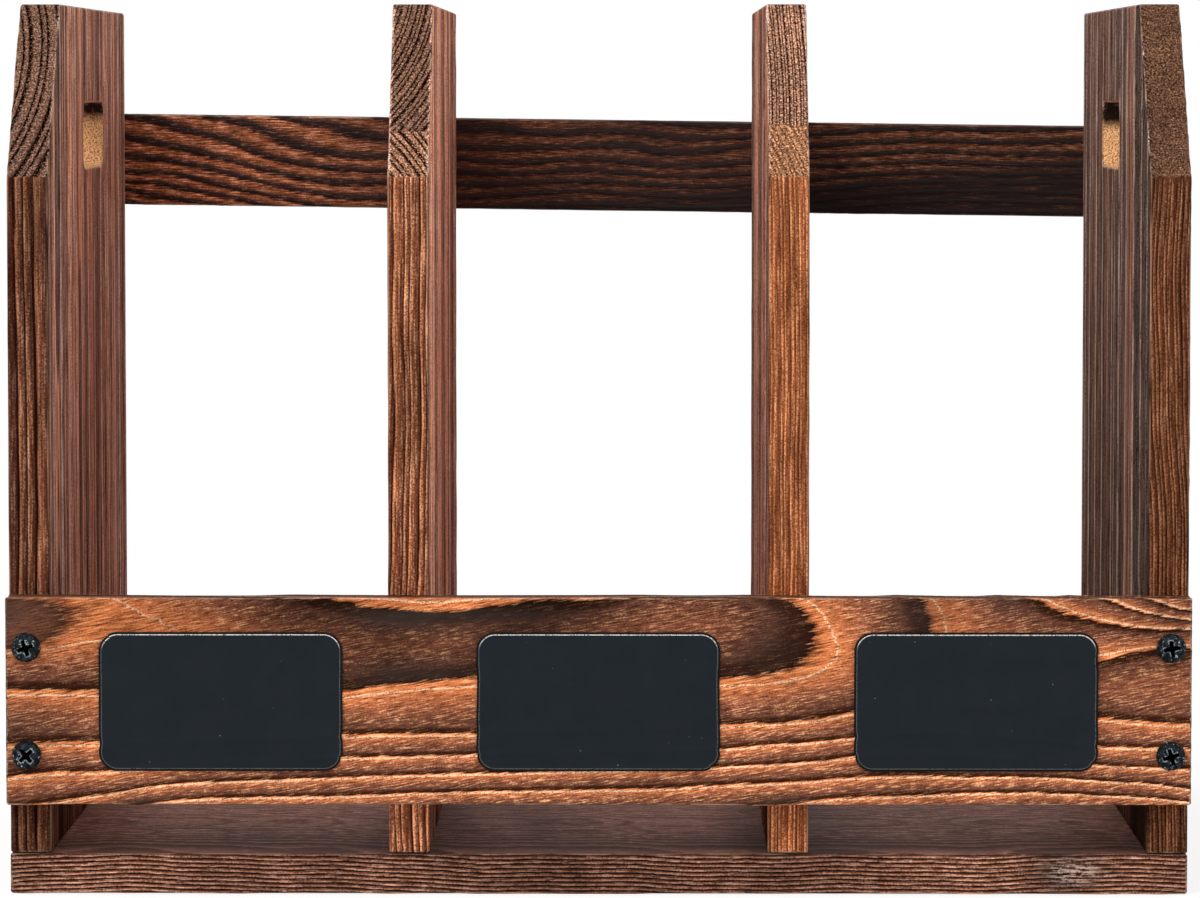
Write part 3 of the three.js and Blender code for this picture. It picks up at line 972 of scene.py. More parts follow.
def wood_material(name, look, grain_axis, lean=0.0):
    """Torched and brushed softwood.

    The ring attribute, frayed by fibres, gives a place in the ring from 0 to 1. A ramp colours it
    bright just after the hard edge and darkening to burnt black before the next. Fibres streak it,
    burning, painted shade and tone darken it, painted light lightens it, edges bared by wear are
    paler, newly cut wood is paler still as painted light, and pale streaks and painted sheen whiten
    it in places.
    """
    shader = Shader(bpy.data.materials.new(name))
    long, fine, broad = look.fibre_length, look.fibre_width, look.bundle_width
    turn = (0.0, lean, 0.0)
    fine_size = [fine] * 3
    broad_size = [broad] * 3
    fine_size[grain_axis] = long
    broad_size[grain_axis] = 2.6 * long
    fibres = shader.noise(shader.place(tuple(fine_size), turn), 1.0, 0.5)
    bundles = shader.noise(shader.place(tuple(broad_size), turn), 2.0, 0.55)
    grit = shader.noise(shader.place((look.grit_size,) * 3), 1.0, 0.5)
    clouds = shader.noise(shader.place((26 * MM,) * 3), 1.0, 0.5)

    end = shader.attribute("end")
    plain = shader.attribute("plain")
    fray = ((fibres - 0.5) + (bundles - 0.5)) * (look.fray / MM) * (1 - end.limited() * 1.35).limited()
    ring, steep = shader.attribute("ring"), shader.attribute("steep")
    along = (ring + fray * steep).fraction()
    stops = [(place, getattr(look, tint + "_colour")) for place, tint in look.stops]
    colour = shader.node("ShaderNodeValToRGB", {"stops": stops}, {"Fac": along})
    rate = shader.attribute("rate")
    from_line = ((ring + fray * steep * 0.5).fraction() - 0.13).size() / rate
    line = shader.between(from_line, 0.4, 0.12) * shader.between(grit, 0.34, 0.5) * look.lines
    line = line * shader.between(rate, 0.006, 0.016)
    colour = shader.mix(line, colour, look.line_colour)
    colour = shader.mix(plain, colour, look.middle_colour)
    dark_line = shader.between((along - 0.5).size() * 2, 0.38, 0.82) * (1 - plain)
    sawn = shader.between(end, 0.3, 0.55)
    colour = shader.mix(sawn, colour, shader.mix(dark_line, look.end_colour, look.end_line))

    texture = fibres + (grit - fibres) * (sawn * (1 - look.grit) + look.grit)
    rough = 1 - plain * (1 - sawn) * 0.5
    early = shader.between(along, 0.84, 0.6) * 0.75 + 0.25
    early = early * shader.between(along, 0.0, look.streak_start)
    early = early * (shader.between(rate, 0.004, 0.05) * 0.3 + 0.7)
    pale = shader.between(texture, 0.52, 0.66) * early * rough * look.streaks
    colour = shader.mix(pale, colour, look.streak_colour)
    pores = shader.between(texture, 0.48, 0.35) * rough * look.pores
    colour = shader.mix(pores, colour, look.dark_colour)
    change = (texture - 0.5) * (sawn * 1.4 + look.contrast) + (clouds - 0.5) * 0.7
    change = change + (bundles - 0.5) * (1 - sawn) * look.bundle_contrast
    light = change.math("EXPONENT", change) * (1 + shader.attribute("tone")) * (1 - end * look.end_shade)
    light = light.math("MAXIMUM", light, 0.06)
    warm = shader.attribute("warm")
    levels = {"Red": light, "Green": light * (1 - warm * 0.1), "Blue": light * (1 - warm * 0.32)}
    shade = shader.node("ShaderNodeCombineColor", None, levels)
    colour = shader.mix(1.0, colour, shade, "MULTIPLY")
    worn = shader.attribute("worn") * shader.between(bundles, 0.4, 0.7) * look.wear
    colour = shader.mix(worn, colour, look.worn_colour)
    # Newly cut wood in the hand slots, coloured paler than such wood is, as painted light against the shade
    # inside the slots
    fresh = shader.attribute("fresh")
    cut = shader.mix(shader.between(grit, 0.36, 0.56), look.fresh_dark, look.fresh_colour)
    colour = shader.mix(fresh, colour, cut)
    # Burnt patches, and painted shade kept with them on the base top and in the hand slots
    char = (shader.attribute("char") * (0.5 + bundles)).limited()
    colour = shader.mix(char, colour, look.char_colour)
    # Painted sheen on the faces inside the bays, and pale streaks in the base's burnt patch
    frost = shader.attribute("frost")
    whitened = (frost * shader.between(texture, 0.47, 0.55)).limited() * look.frost
    colour = shader.mix(whitened, colour, look.frost_colour)

    height = texture * 0.9 + bundles * 0.5 + (1 - along) * look.ring_step
    normal = shader.node(
        "ShaderNodeBump", None, {"Strength": look.bump, "Distance": 0.4 * MM, "Height": height}
    )
    roughness = (look.roughness + (texture - 0.5) * 0.35 + char * 0.12).limited()
    sockets = {
        "Base Color": colour,
        "Roughness": roughness,
        "Specular IOR Level": look.gloss,
        "Sheen Weight": look.fuzz,
        "Sheen Roughness": 0.35,
        "Sheen Tint": (*look.fuzz_colour, 1.0),
        "Coat Weight": (frost - 0.3).limited() * look.glaze,
        "Coat Roughness": 0.35,
        "Normal": normal,
    }
    return shader.finish(shader.node("ShaderNodeBsdfPrincipled", None, sockets))


def film_material(look):
    """Matt chalkboard film: blue-black, faintly clouded, with a few pale specks of dust."""
    shader = Shader(bpy.data.materials.new("chalkboard_film"))
    clouds = shader.noise(shader.place((9 * MM,) * 3), 3.0, 0.6)
    weave = shader.noise(shader.place((0.5 * MM,) * 3), 2.0, 0.6)
    cells = shader.node(
        "ShaderNodeTexVoronoi", None, {"Vector": shader.place((3.4 * MM,) * 3), "Scale": 1.0}, "Distance"
    )
    speck = shader.between(cells, 0.065, 0.03) * shader.between(clouds, 0.5, 0.62)
    colour = shader.mix(shader.between(clouds, 0.3, 0.7), look.film_colour, look.film_light)
    colour = shader.mix(shader.between(weave, 0.55, 0.8) * 0.35, colour, look.film_grain)
    colour = shader.mix(speck * 0.6, colour, look.dust_colour)
    relief = {"Strength": 0.25, "Distance": 0.1 * MM, "Height": weave}
    normal = shader.node("ShaderNodeBump", None, relief)
    # The rim attribute paints light and shade: above 0 a painted highlight, strongest along the film's top
    # edge, below 0 a near-black painted shadow round its outer edge
    rim = shader.attribute("rim")
    colour = shader.mix(rim.limited() * shader.between(weave, 0.3, 0.55), colour, look.film_highlight)
    colour = shader.mix((rim * -1.0).limited(), colour, look.film_shadow)
    sockets = {
        "Base Color": colour,
        "Roughness": 0.5 + clouds * 0.15,
        "Specular IOR Level": 0.12,
        "Normal": normal,
    }
    return shader.finish(shader.node("ShaderNodeBsdfPrincipled", None, sockets))


def steel_material(look):
    """Black phosphated steel: a dark metal with a blue-grey bloom and a slight grit."""
    shader = Shader(bpy.data.materials.new("blackened_screws"))
    bloom = shader.noise(shader.place((1.1 * MM,) * 3), 3.0, 0.6)
    grit = shader.noise(shader.place((0.6 * MM,) * 3), 1.0, 0.5)
    colour = shader.mix(shader.between(bloom, 0.35, 0.7), look.steel_colour, look.bloom_colour)
    specks = shader.between(grit, 0.58, 0.68) * shader.between(bloom, 0.5, 0.6)
    colour = shader.mix(specks, colour, look.speck_colour)
    # Painted shade: the cross recess is coloured near black
    sunk = shader.attribute("sunk")
    # Painted glint: a pale line round the rim of the recess
    rubbed = shader.attribute("rubbed") * shader.between(bloom, 0.44, 0.56)
    colour = shader.mix(rubbed, shader.mix(sunk, colour, look.recess_shade_colour), look.painted_glint_colour)
    normal = shader.node("ShaderNodeBump", None, {"Strength": 0.5, "Distance": 0.08 * MM, "Height": grit})
    sockets = {
        "Base Color": colour,
        "Metallic": 0.4 - sunk * 0.4,
        "Roughness": 0.3 + bloom * 0.2,
        "Specular IOR Level": 0.0,
        "Normal": normal,
    }
    return shader.finish(shader.node("ShaderNodeBsdfPrincipled", None, sockets))


# Settings


# What can be set for every kind of board: the kind of setting, its name, what it does and its usual
# value, which a kind of board can replace with its own.
WOOD_SETTINGS = {
    "bright_colour": (colour_property, "Bright", "Brightest part of a ring", 0xAF6743),
    "line_colour": (colour_property, "Line", "Pale line in each ring", 0xC58A68),
    "warm_colour": (colour_property, "Warm", "Early part of a ring", 0x96573A),
    "middle_colour": (colour_property, "Middle", "Middle of a ring", 0x7E4A33),
    "shade_colour": (colour_property, "Shade", "Later part of a ring", 0x653B2A),
    "dark_colour": (colour_property, "Dark", "Torched end of a ring", 0x3A160D),
    "edge_colour": (colour_property, "Edge", "Darkest line of a ring", 0x240A05),
    # Also the colour of painted shade: on the base under the front board and at the top of the hand slots
    "char_colour": (colour_property, "Char", "Burnt patches", 0x281B18),
    "relief": (length_property, "Relief", "Depth between the ridges", 0.16 * MM),
    "fray": (length_property, "Fray", "How far fibres break a ring's edge", 0.8 * MM),
    "contrast": (amount_property, "Contrast", "Light and dark of the fibres", 2.4),
    "streaks": (share_property, "Streaks", "Pale fibre streaks", 0.4),
    "pores": (share_property, "Pores", "Dark fibre streaks", 0.5),
    "grit": (share_property, "Grit", "Share of speckle among the fibres", 0.4),
    "roughness": (share_property, "Roughness", "Satin finish", 0.45),
    "fibre_length": (length_property, "Fibre length", "Length of one fibre streak", 4.0 * MM),
    "fibre_width": (length_property, "Fibre width", "Width of one fibre streak", 0.42 * MM),
    "grit_size": (length_property, "Grit size", "Size of the finest speckle", 0.5 * MM),
    "bundle_width": (length_property, "Bundle width", "Width of a bundle of fibres", 1.2 * MM),
    "bundle_contrast": (amount_property, "Bundle contrast", "Light and dark of the bundles", 0.9),
    "streak_start": (share_property, "Streak start", "Place in a ring up to which pale fibres grow", 0.001),
    "bump": (share_property, "Bump", "Strength of the fine fibre relief", 0.8),
    "lines": (share_property, "Lines", "Thin pale line in each ring", 0.9),
    # On the faces inside the bays these pale lines are painted sheen, light caught at flat angles; on the
    # base they are pale streaks of the wood
    "frost": (share_property, "Frost", "Pale lines along a broad face", 0.85),
    "frost_colour": (colour_property, "Frost colour", "Those pale lines", 0xF2D6C6),
    "glaze": (share_property, "Glaze", "How much those lines catch the light at flat angles", 0.15),
    "end_colour": (colour_property, "End grain", "Brushed end grain", 0xAB7C66),
    "end_line": (colour_property, "End grain line", "Dark lines of the end grain", 0x1C0803),
    "ring_step": (share_property, "Ring step", "How far the fine relief drops at each ring's edge", 0.5),
    "gloss": (share_property, "Gloss", "How much the varnish reflects", 0.1),
    # On the boards this is wear alone; the glint belongs to the screws
    "wear": (share_property, "Wear", "How much the rounded edges are worn", 0.9),
    "fuzz": (share_property, "Fuzz", "How much loose fibres catch the light at flat angles", 0.02),
    "fuzz_colour": (colour_property, "Fuzz colour", "Light on the loose fibres", 0xFFC8AC),
    "end_shade": (share_property, "End shade", "How much darker the end grain is burnt", 0.5),
    "streak_colour": (colour_property, "Streak", "Pale fibres", 0xD8A585),
    # On the boards this is wear alone; the glint belongs to the screws
    "worn_colour": (colour_property, "Worn edge", "Wood where an edge is rubbed bare", 0xE6BC9B),
    # The newly cut wood's colours are made paler as painted light against the shade inside the slots
    "fresh_colour": (colour_property, "Fresh cut", "Wood inside the hand slots", 0xFFCB94),
    "fresh_dark": (colour_property, "Fresh cut grain", "Darker grain inside the hand slots", 0xB06A3A),
}


def wood_settings(**chosen):
    """The settings of one kind of board, where the chosen values take the usual ones' place."""
    return {
        key: make(name, description, chosen.get(key, usual))
        for key, (make, name, description, usual) in WOOD_SETTINGS.items()
    }


class FrontBoardLook(bpy.types.PropertyGroup):
    """The front board's bold figure."""

    # The colours across one ring, each with its place from 0 to 1
    stops = (
        *((0.0, "edge"), (0.06, "bright"), (0.13, "bright"), (0.2, "warm"), (0.42, "middle")),
        *((0.7, "shade"), (0.78, "shade"), (0.88, "dark"), (0.97, "dark"), (1.0, "edge")),
    )
    __annotations__ = wood_settings(
        bright_colour=0xE88650,
        line_colour=0xFFDAB4,
        warm_colour=0xCE774A,
        middle_colour=0x9F5E42,
        shade_colour=0x724534,
        dark_colour=0x3B1C0F,
        edge_colour=0x220B04,
        char_colour=0x3A2F2B,
        relief=0.32 * MM,
        fray=2.6 * MM,
        streaks=0.5,
        grit=0.3,
        fibre_width=0.38 * MM,
        gloss=0.03,
        streak_colour=0xEDB583,
    )


class UprightLook(bpy.types.PropertyGroup):
    """The sides' and dividers' plain red-brown grain."""

    stops = (
        *((0.0, "edge"), (0.03, "bright"), (0.12, "bright"), (0.18, "warm"), (0.42, "middle")),
        *((0.7, "shade"), (0.78, "shade"), (0.88, "dark"), (0.97, "dark"), (1.0, "edge")),
    )
    __annotations__ = wood_settings(
        fibre_length=12 * MM,
        bundle_width=3.2 * MM,
        bundle_contrast=1.8,
        gloss=0.0,
        fuzz=0.03,
    )


class BaseLook(bpy.types.PropertyGroup):
    """The base's close dark grain."""

    stops = (
        *((0.0, "edge"), (0.07, "bright"), (0.2, "bright"), (0.32, "warm")),
        *((0.5, "middle"), (0.65, "shade"), (0.82, "dark"), (1.0, "edge")),
    )
    __annotations__ = wood_settings(
        bright_colour=0xA5684B,
        line_colour=0xCB977D,
        warm_colour=0x95593F,
        middle_colour=0x71422F,
        shade_colour=0x4D2A1E,
        dark_colour=0x2B0E07,
        edge_colour=0x1B0603,
        char_colour=0x2C1D18,
        relief=0.2 * MM,
        fray=1.8 * MM,
        contrast=2.2,
        streaks=0.35,
        pores=0.4,
        grit=0.3,
        roughness=0.55,
        frost=1.0,
        glaze=0.0,
        gloss=0.03,
        streak_colour=0xE6B9A4,
    )


class RailLook(bpy.types.PropertyGroup):
    """The rail's deeply torched grain, whose dark lines are soft on both sides."""

    stops = (
        *((0.0, "edge"), (0.12, "dark"), (0.24, "warm"), (0.38, "bright")),
        *((0.55, "middle"), (0.68, "shade"), (0.82, "dark"), (0.94, "edge")),
    )
    __annotations__ = wood_settings(
        bright_colour=0xA2623F,
        line_colour=0xD29A78,
        warm_colour=0x8A4D31,
        middle_colour=0x945839,
        shade_colour=0x6E402D,
        dark_colour=0x301B15,
        edge_colour=0x1F1210,
        char_colour=0x2C2221,
        relief=0.22 * MM,
        fray=3.5 * MM,
        streaks=0.7,
        pores=0.8,
        grit=0.25,
        streak_start=0.35,
        lines=0.0,
        streak_colour=0xC9967A,
    )


class FittingsLook(bpy.types.PropertyGroup):
    """The labels' film and the screws' steel."""

    film_colour: colour_property("Film", "Chalkboard film", 0x141B20)
    film_light: colour_property("Film, lighter", "Clouds in the film", 0x191F24)
    film_grain: colour_property("Film grain", "Fine grain of the film", 0x21282D)
    # Colours of the painted highlight along each label's top edge and of the painted shadow round its rim
    film_highlight: colour_property("Film rim", "Light line along the film's top", 0xECE6DE)
    film_shadow: colour_property("Film shade", "Dark edge of the film", 0x070606)
    dust_colour: colour_property("Dust", "Specks on the film", 0x9AA3A6)
    steel_colour: colour_property("Steel", "Black screws", 0x15191C)
    bloom_colour: colour_property("Bloom", "Grey bloom on the screws", 0x2B3135)
    speck_colour: colour_property("Specks", "Bright specks on the screws", 0xB8C2C8)
    # A painted glint round the rim of each cross
    painted_glint_colour: colour_property("Rubbed rim", "Rim of a screw's cross, rubbed bare", 0x929CA1)
    # Painted shade inside the cross recess
    recess_shade_colour: colour_property("Recess", "Inside of a cross recess", 0x020202)
    label_edge: length_property("Label edge", "Rounding of the film's edge", 0.2 * MM)
    label_corner: length_property("Label corner", "Radius of a label's corners", 5.5 * MM)
    label_wave: length_property("Label wave", "How far the film's edge follows the grain", 0.3 * MM)


class BoardSizes(bpy.types.PropertyGroup):
    """How finely the boards are meshed and rounded."""

    edge: length_property("Edge radius", "Rounding of every long edge", 0.7 * MM)
    along: length_property("Step along", "Lattice step along the grain", 1.5 * MM)
    across: length_property("Step across", "Lattice step across the grain", 0.45 * MM)
    upright_step: length_property("Upright step", "Lattice step across an upright's grain", 1.0 * MM)


class StageLook(bpy.types.PropertyGroup):
    """The camera and the light."""

    camera_place: bpy.props.FloatVectorProperty(
        name="Camera place",
        description="Where the camera stands",
        default=(11.9 * MM, -1736.6 * MM, 232.7 * MM),
        unit="LENGTH",
        subtype="TRANSLATION",
    )
    camera_turn: bpy.props.FloatVectorProperty(
        name="Camera turn",
        description="How the camera is turned",
        default=(math.radians(90 - 3.678), 0.0, math.radians(0.407)),
        unit="ROTATION",
        subtype="EULER",
    )
    lens: bpy.props.FloatProperty(
        name="Lens", description="Focal length in millimetres", default=168.8, min=1, unit="CAMERA"
    )
    ambient: amount_property("Ambient", "Light from all round", 0.42)
    key_power: power_property("Key light", "Power of the main lamp", 24.0)
    fill_power: power_property("Fill light", "Power of the lamp at the right", 7.0)
    top_power: power_property("Top light", "Power of the lamp overhead", 9.0)
    floor_glow: share_property("Floor glow", "Light that the floor shows to the camera", 0.78)


SETTINGS = {
    "organizer_front": FrontBoardLook,
    "organizer_upright": UprightLook,
    "organizer_base": BaseLook,
    "organizer_rail": RailLook,
    "organizer_fittings": FittingsLook,
    "organizer_sizes": BoardSizes,
    "organizer_stage": StageLook,
}


# Boards

GRAIN_ALONG_X = 0
GRAIN_ALONG_Z = 2
FIBRE_LEAN = math.radians(11)  # how the front board's fibres lean against its length


class BuildFrontBoard(bpy.types.Operator):
    """Build the front board with its bold figure and its four screw holes"""

    bl_idname = "organizer.front_board"
    bl_label = "Front Board"

    def execute(self, context):
        scene = context.scene
        look, sizes = scene.organizer_front, scene.organizer_sizes
        low, high = BOX["front_board"]
        middle = (low[2] + high[2]) / 2
        rise_to_screw = (high[2] - low[2]) / 2 - FRONT_SCREW_INSET
        thickness = high[1] - low[1]
        holes = [
            through_hole(2, (UPRIGHT_X[side], middle + way * rise_to_screw), PAN_HOLE, thickness)
            for side in SIDES
            for way in (1, -1)
        ]
        steps = (sizes.along, sizes.across, BOARD_THROUGH)
        order = [0, 2, 1]
        board = Board(low[order], high[order], order, sizes.edge, steps, bores=holes)
        material = wood_material("front_wood", look, GRAIN_ALONG_X, -FIBRE_LEAN)
        build_board(
            "front_board_wood", board, front_grain, look.relief, GRAIN_ALONG_X, material
        )
        return {"FINISHED"}


class BuildRail(bpy.types.Operator):
    """Build the back rail, slightly slanting, with a screw hole at each upright"""

    bl_idname = "organizer.back_rail"
    bl_label = "Back Rail"

    def execute(self, context):
        scene = context.scene
        look, sizes = scene.organizer_rail, scene.organizer_sizes
        front, back = BOX["back_rail"][0][1], BOX["back_rail"][1][1]
        low = (-RAIL_LENGTH / 2, RAIL_MIDDLE - RAIL_HEIGHT / 2, front)
        high = (RAIL_LENGTH / 2, RAIL_MIDDLE + RAIL_HEIGHT / 2, back)
        holes = [
            through_hole(2, (x / math.cos(RAIL_SLANT), RAIL_MIDDLE), PAN_HOLE, back - front)
            for x in UPRIGHT_X.values()
        ]
        steps = (sizes.along, sizes.across, BOARD_THROUGH)
        board = Board(low, high, (0, 2, 1), sizes.edge, steps, bores=holes)
        material = wood_material("rail_wood", look, GRAIN_ALONG_X)

        def level_grain(points):
            """The wood at points of the level rail."""
            return rail_grain(slant(points))

        build_board(
            "back_rail_wood", board, level_grain, look.relief, GRAIN_ALONG_X, material, slant
        )
        return {"FINISHED"}


def slant(points):
    """Turns points of the level rail about its middle, so that its right end sinks."""
    x, z = points[:, 0], points[:, 2] - RAIL_MIDDLE
    cos, sin = math.cos(RAIL_SLANT), math.sin(RAIL_SLANT)
    return np.stack([x * cos + z * sin, points[:, 1], RAIL_MIDDLE - x * sin + z * cos], axis=1)


class BuildBase(bpy.types.Operator):
    """Build the base board, countersunk from below for two screws under each upright"""

    bl_idname = "organizer.base_board"
    bl_label = "Base Board"

    def execute(self, context):
        scene = context.scene
        look, sizes = scene.organizer_base, scene.organizer_sizes
        low, high = BOX["base_board"]
        thickness = high[2] - low[2]
        rows = (
            (FLAT_MOUTH, 0, 0),
            (FLAT_MOUTH, FLAT_SINK, 1),
            (FLAT_HOLE, FLAT_SINK + FLAT_DEPTH, 0.8),
            (FLAT_HOLE, thickness, 0.5),
        )
        window = (SINK_WINDOW, SINK_WINDOW)
        depths = (low[1] + BASE_SCREW_INSET, high[1] - BASE_SCREW_INSET)
        places = [(x, y) for x in UPRIGHT_X.values() for y in depths]
        holes = [Bore(2, 0, place, window, rows, through=True) for place in places]
        board = Board(low, high, (0, 1, 2), sizes.edge, BASE_STEPS, bores=holes)
        material = wood_material("base_wood", look, GRAIN_ALONG_X)
        build_board(
            "base_board_wood", board, base_grain, look.relief, GRAIN_ALONG_X, material
        )
        return {"FINISHED"}


class BuildUprights(bpy.types.Operator):
    """Build the two sides with their hand slots and the two dividers"""

    bl_idname = "organizer.uprights"
    bl_label = "Uprights"

    def execute(self, context):
        scene = context.scene
        look, sizes = scene.organizer_upright, scene.organizer_sizes
        material = wood_material("upright_wood", look, GRAIN_ALONG_Z)
        for name in UPRIGHTS:
            low, high = (corner[[1, 2, 0]] for corner in BOX[name])
            holes = self.screw_holes(name, low, high)
            if name in SIDES:
                holes.append(hand_slot(high[2] - low[2], sizes.edge))
            glue = [stave[0] * MM for stave in STAVES[name][1:]]
            marks = [line + shift for line in glue for shift in (-GLUE_LINE, 0.0)]
            steps = (sizes.upright_step, UPRIGHT_ALONG, UPRIGHT_THROUGH)
            slope = (SLOPE_DEPTH, SLOPE_HEIGHT)
            board = Board(low, high, (2, 0, 1), sizes.edge, steps, slope, holes, marks)
            grain = upright_grain(name)
            build_board(
                name + "_wood", board, grain, look.relief, GRAIN_ALONG_Z, material
            )
        return {"FINISHED"}

    def screw_holes(self, name, low, high):
        """Blind holes for the rail's screw, the base's two and, in a side, the front board's two."""
        middle = (low[2] + high[2]) / 2
        rail_y = BOX["back_rail"][1][1]
        pan_reach = PAN_LENGTH + SCREW_CLEARANCE
        flat_reach = FLAT_SINK + FLAT_LENGTH + SCREW_CLEARANCE - low[1]
        rail_z = RAIL_MIDDLE - middle * math.tan(RAIL_SLANT)
        holes = [round_hole(0, 1, (rail_z, middle), PAN_HOLE, high[0] - rail_y + pan_reach)]
        for y in (low[0] + BASE_SCREW_INSET, high[0] - BASE_SCREW_INSET):
            holes.append(round_hole(1, 0, (middle, y), FLAT_HOLE, flat_reach))
        if name in SIDES:
            bottom, top = BOX["front_board"][0][2], BOX["front_board"][1][2]
            depth = FRONT_FACE + pan_reach - low[0]
            for z in (bottom + FRONT_SCREW_INSET, top - FRONT_SCREW_INSET):
                holes.append(round_hole(0, 0, (z, middle), PAN_HOLE, depth))
        return holes


# Labels


def rounded_outline(half_width, half_height, corner, count):
    """A rectangle with round corners, from the angle round it: straight sides joined by arcs."""
    angle = np.linspace(0, TURN, count, endpoint=False) + TURN / count / 2
    reach = np.stack([np.cos(angle), np.sin(angle)], axis=1)
    power = np.abs(reach) ** 0.35 * np.sign(reach)
    box = np.array([half_width, half_height])
    heart = box - corner
    rough = power * (box + 2 * corner)
    core = np.clip(rough, -heart, heart)
    away = rough - core
    away /= np.linalg.norm(away, axis=1, keepdims=True)
    return core, away


class BuildLabels(bpy.types.Operator):
    """Build the three labels of matt film, laid over the front board's grain"""

    bl_idname = "organizer.labels"
    bl_label = "Labels"

    def execute(self, context):
        look = context.scene.organizer_fittings
        carve = context.scene.organizer_front.relief
        material = film_material(look)
        for name in LABELS:
            self.build_label(name, look, carve, material)
        return {"FINISHED"}

    def build_label(self, name, look, carve, material):
        """A label: rows of one outline drawn in towards the middle, its rim rounded over.

        Its face follows half of the relief below it, and its rim follows the ridges that it crosses.
        """
        low, high = BOX[name]
        middle = (low + high) / 2
        half = (high - low) / 2
        core, away = rounded_outline(half[0], half[2], look.label_corner, LABEL_POINTS)
        edge = look.label_edge
        thickness = high[1] - low[1]
        rim = core + look.label_corner * away
        face = np.full(len(rim), FRONT_FACE)
        place = np.stack([rim[:, 0] + middle[0], face, rim[:, 1] + middle[2]], axis=1)
        wave = look.label_wave * ridge(front_grain(place).ring) * (np.abs(away[:, 0]) > 0.5)
        rows = [(share, 1.0, 0.0, 0.0, 0.0) for share in np.linspace(0, 1, LABEL_ROWS)[:-1]]
        # Rows inside the rim, with what they paint: 1 a highlight, strongest along the top edge, and -1 a
        # near-black shadow that goes on over the rounded rim: painted light and shade
        rim_light_and_shadow = ((0.92, 0), (0.84, 1), (0.62, 1), (0.54, -1))
        rows += [(1.0, inset * MM, 0.0, 0.0, lit) for inset, lit in rim_light_and_shadow]
        rows += [
            (1.0, edge * (1 - math.sin(a)), edge * (1 - math.cos(a)), a, -1.0) for a in RIM_ANGLES
        ]
        rows += [(1.0, 0.0, thickness, math.pi / 2, -1.0)]
        surface = Surface()
        points, normals, lines = [], [], []
        for share, inset, depth, angle, lit in rows:
            radius = look.label_corner - wave - min(inset, 1 * MM)
            flat = share * (core + radius[:, None] * away)
            y = np.full(len(flat), low[1] + depth)
            points.append(np.stack([flat[:, 0] + middle[0], y, flat[:, 1] + middle[2]], axis=1))
            side = math.sin(angle) * away
            facing = np.full(len(flat), -math.cos(angle) - 1e-3)
            normals.append(np.stack([side[:, 0], facing, side[:, 1]], axis=1))
            # The painted highlight is strongest where the rim faces up, towards the light
            shine = 0.1 + 0.9 * rise(away[:, 1], 0.1, 0.7) if lit > 0 else np.ones(len(flat))
            lines.append(lit * shine)
        back = [share * (points[-1] - middle) + middle for share in (1, 0.5, 0)]
        for ring in back:
            ring[:, 1] = high[1]
        surface.add(np.stack(points), np.stack(normals), fresh=np.stack(lines), closed=True)
        surface.add(np.stack(back), np.array([0.0, 1.0, 0.0]), closed=True)
        points, _, _, line, _, triangles = surface.weld()
        grain = front_grain(points)
        follow = np.clip((high[1] - points[:, 1]) / thickness, 0, 1)
        points[:, 1] += 0.5 * carve * follow * (1 - ridge(grain.ring))
        make_piece(name + "_film", points, triangles, material, [name], {"rim": line})


# Screws


def into_cross(x, y):
    """How far a place lies inside a cross: two tapering blades, and a round pit where they meet."""
    reach = np.hypot(x, y)
    blade = BLADE_WIDTH - BLADE_TAPER * reach
    first = np.maximum(np.abs(x) - blade, np.abs(y) - BLADE_REACH)
    second = np.maximum(np.abs(y) - blade, np.abs(x) - BLADE_REACH)
    return -np.minimum(np.minimum(first, second), reach - PIT_RADIUS)


def cross_recess(x, y):
    """The depth of a cross recess: steep walls, and a floor that rises towards the tips."""
    return rise(into_cross(x, y), 0, 0.16 * MM) * (RECESS_DEPTH - RECESS_RISE * np.hypot(x, y))


def thread_radius(height, angle, core, crest, pitch):
    """A shank with a thread: a sharp crest that climbs one pitch in a turn."""
    place = (height / pitch + angle / TURN) % 1
    return core + (crest - core) * np.clip(1 - np.abs(place - 0.5) / 0.28, 0, 1)


def screw_surface(head, neck, shank, length, sides):
    """A screw round its own axis, the seat of its head at height 0 and its point below.

    head: (radius, height) rows from the middle of the head's top to its rim, sunk by the recess.
    Below the neck the shank is threaded, and it draws in to a point over its last length.
    """
    angle = np.linspace(0, TURN, sides, endpoint=False)
    rows = []
    for radius, height in head:
        sunk = cross_recess(radius * np.cos(angle), radius * np.sin(angle))
        rows.append((np.full(sides, radius), height - sunk))
    rows.append((np.full(sides, shank), np.full(sides, neck)))
    bottom = rows[-1][1][0] - 1 * MM
    for height in np.linspace(bottom, -length + 0.6 * MM, THREAD_ROWS):
        taper = rise(height, -length, -length + POINT_LENGTH)
        radius = thread_radius(height, angle, THREAD_CORE * shank, shank, THREAD_PITCH)
        rows.append((radius * (0.08 + 0.92 * taper), np.full(sides, height)))
    rows.append((np.zeros(sides), np.full(sides, -length)))
    points = np.stack([np.stack([r * np.cos(angle), r * np.sin(angle), h], axis=1) for r, h in rows])
    outward = np.stack([np.cos(angle), np.sin(angle), np.zeros(sides)], axis=1)
    normals = np.stack([outward + (0, 0, 1.5)] * len(head) + [outward] * (len(rows) - len(head)))
    inside = into_cross(points[..., 0], points[..., 1])
    on_head = np.arange(len(rows))[:, None] < len(head)
    # Where the cross recess lies, coloured near black as painted shade
    sunk = rise(inside, -0.04 * MM, 0.06 * MM) * on_head
    # A thin ring round the recess's rim, for a painted glint
    rubbed = bump(inside, 0, -0.16 * MM, 0, 0.13 * MM, 1) * on_head
    surface = Surface()
    surface.add(points, normals, fresh=sunk, worn=rubbed, closed=True)
    return surface.weld()


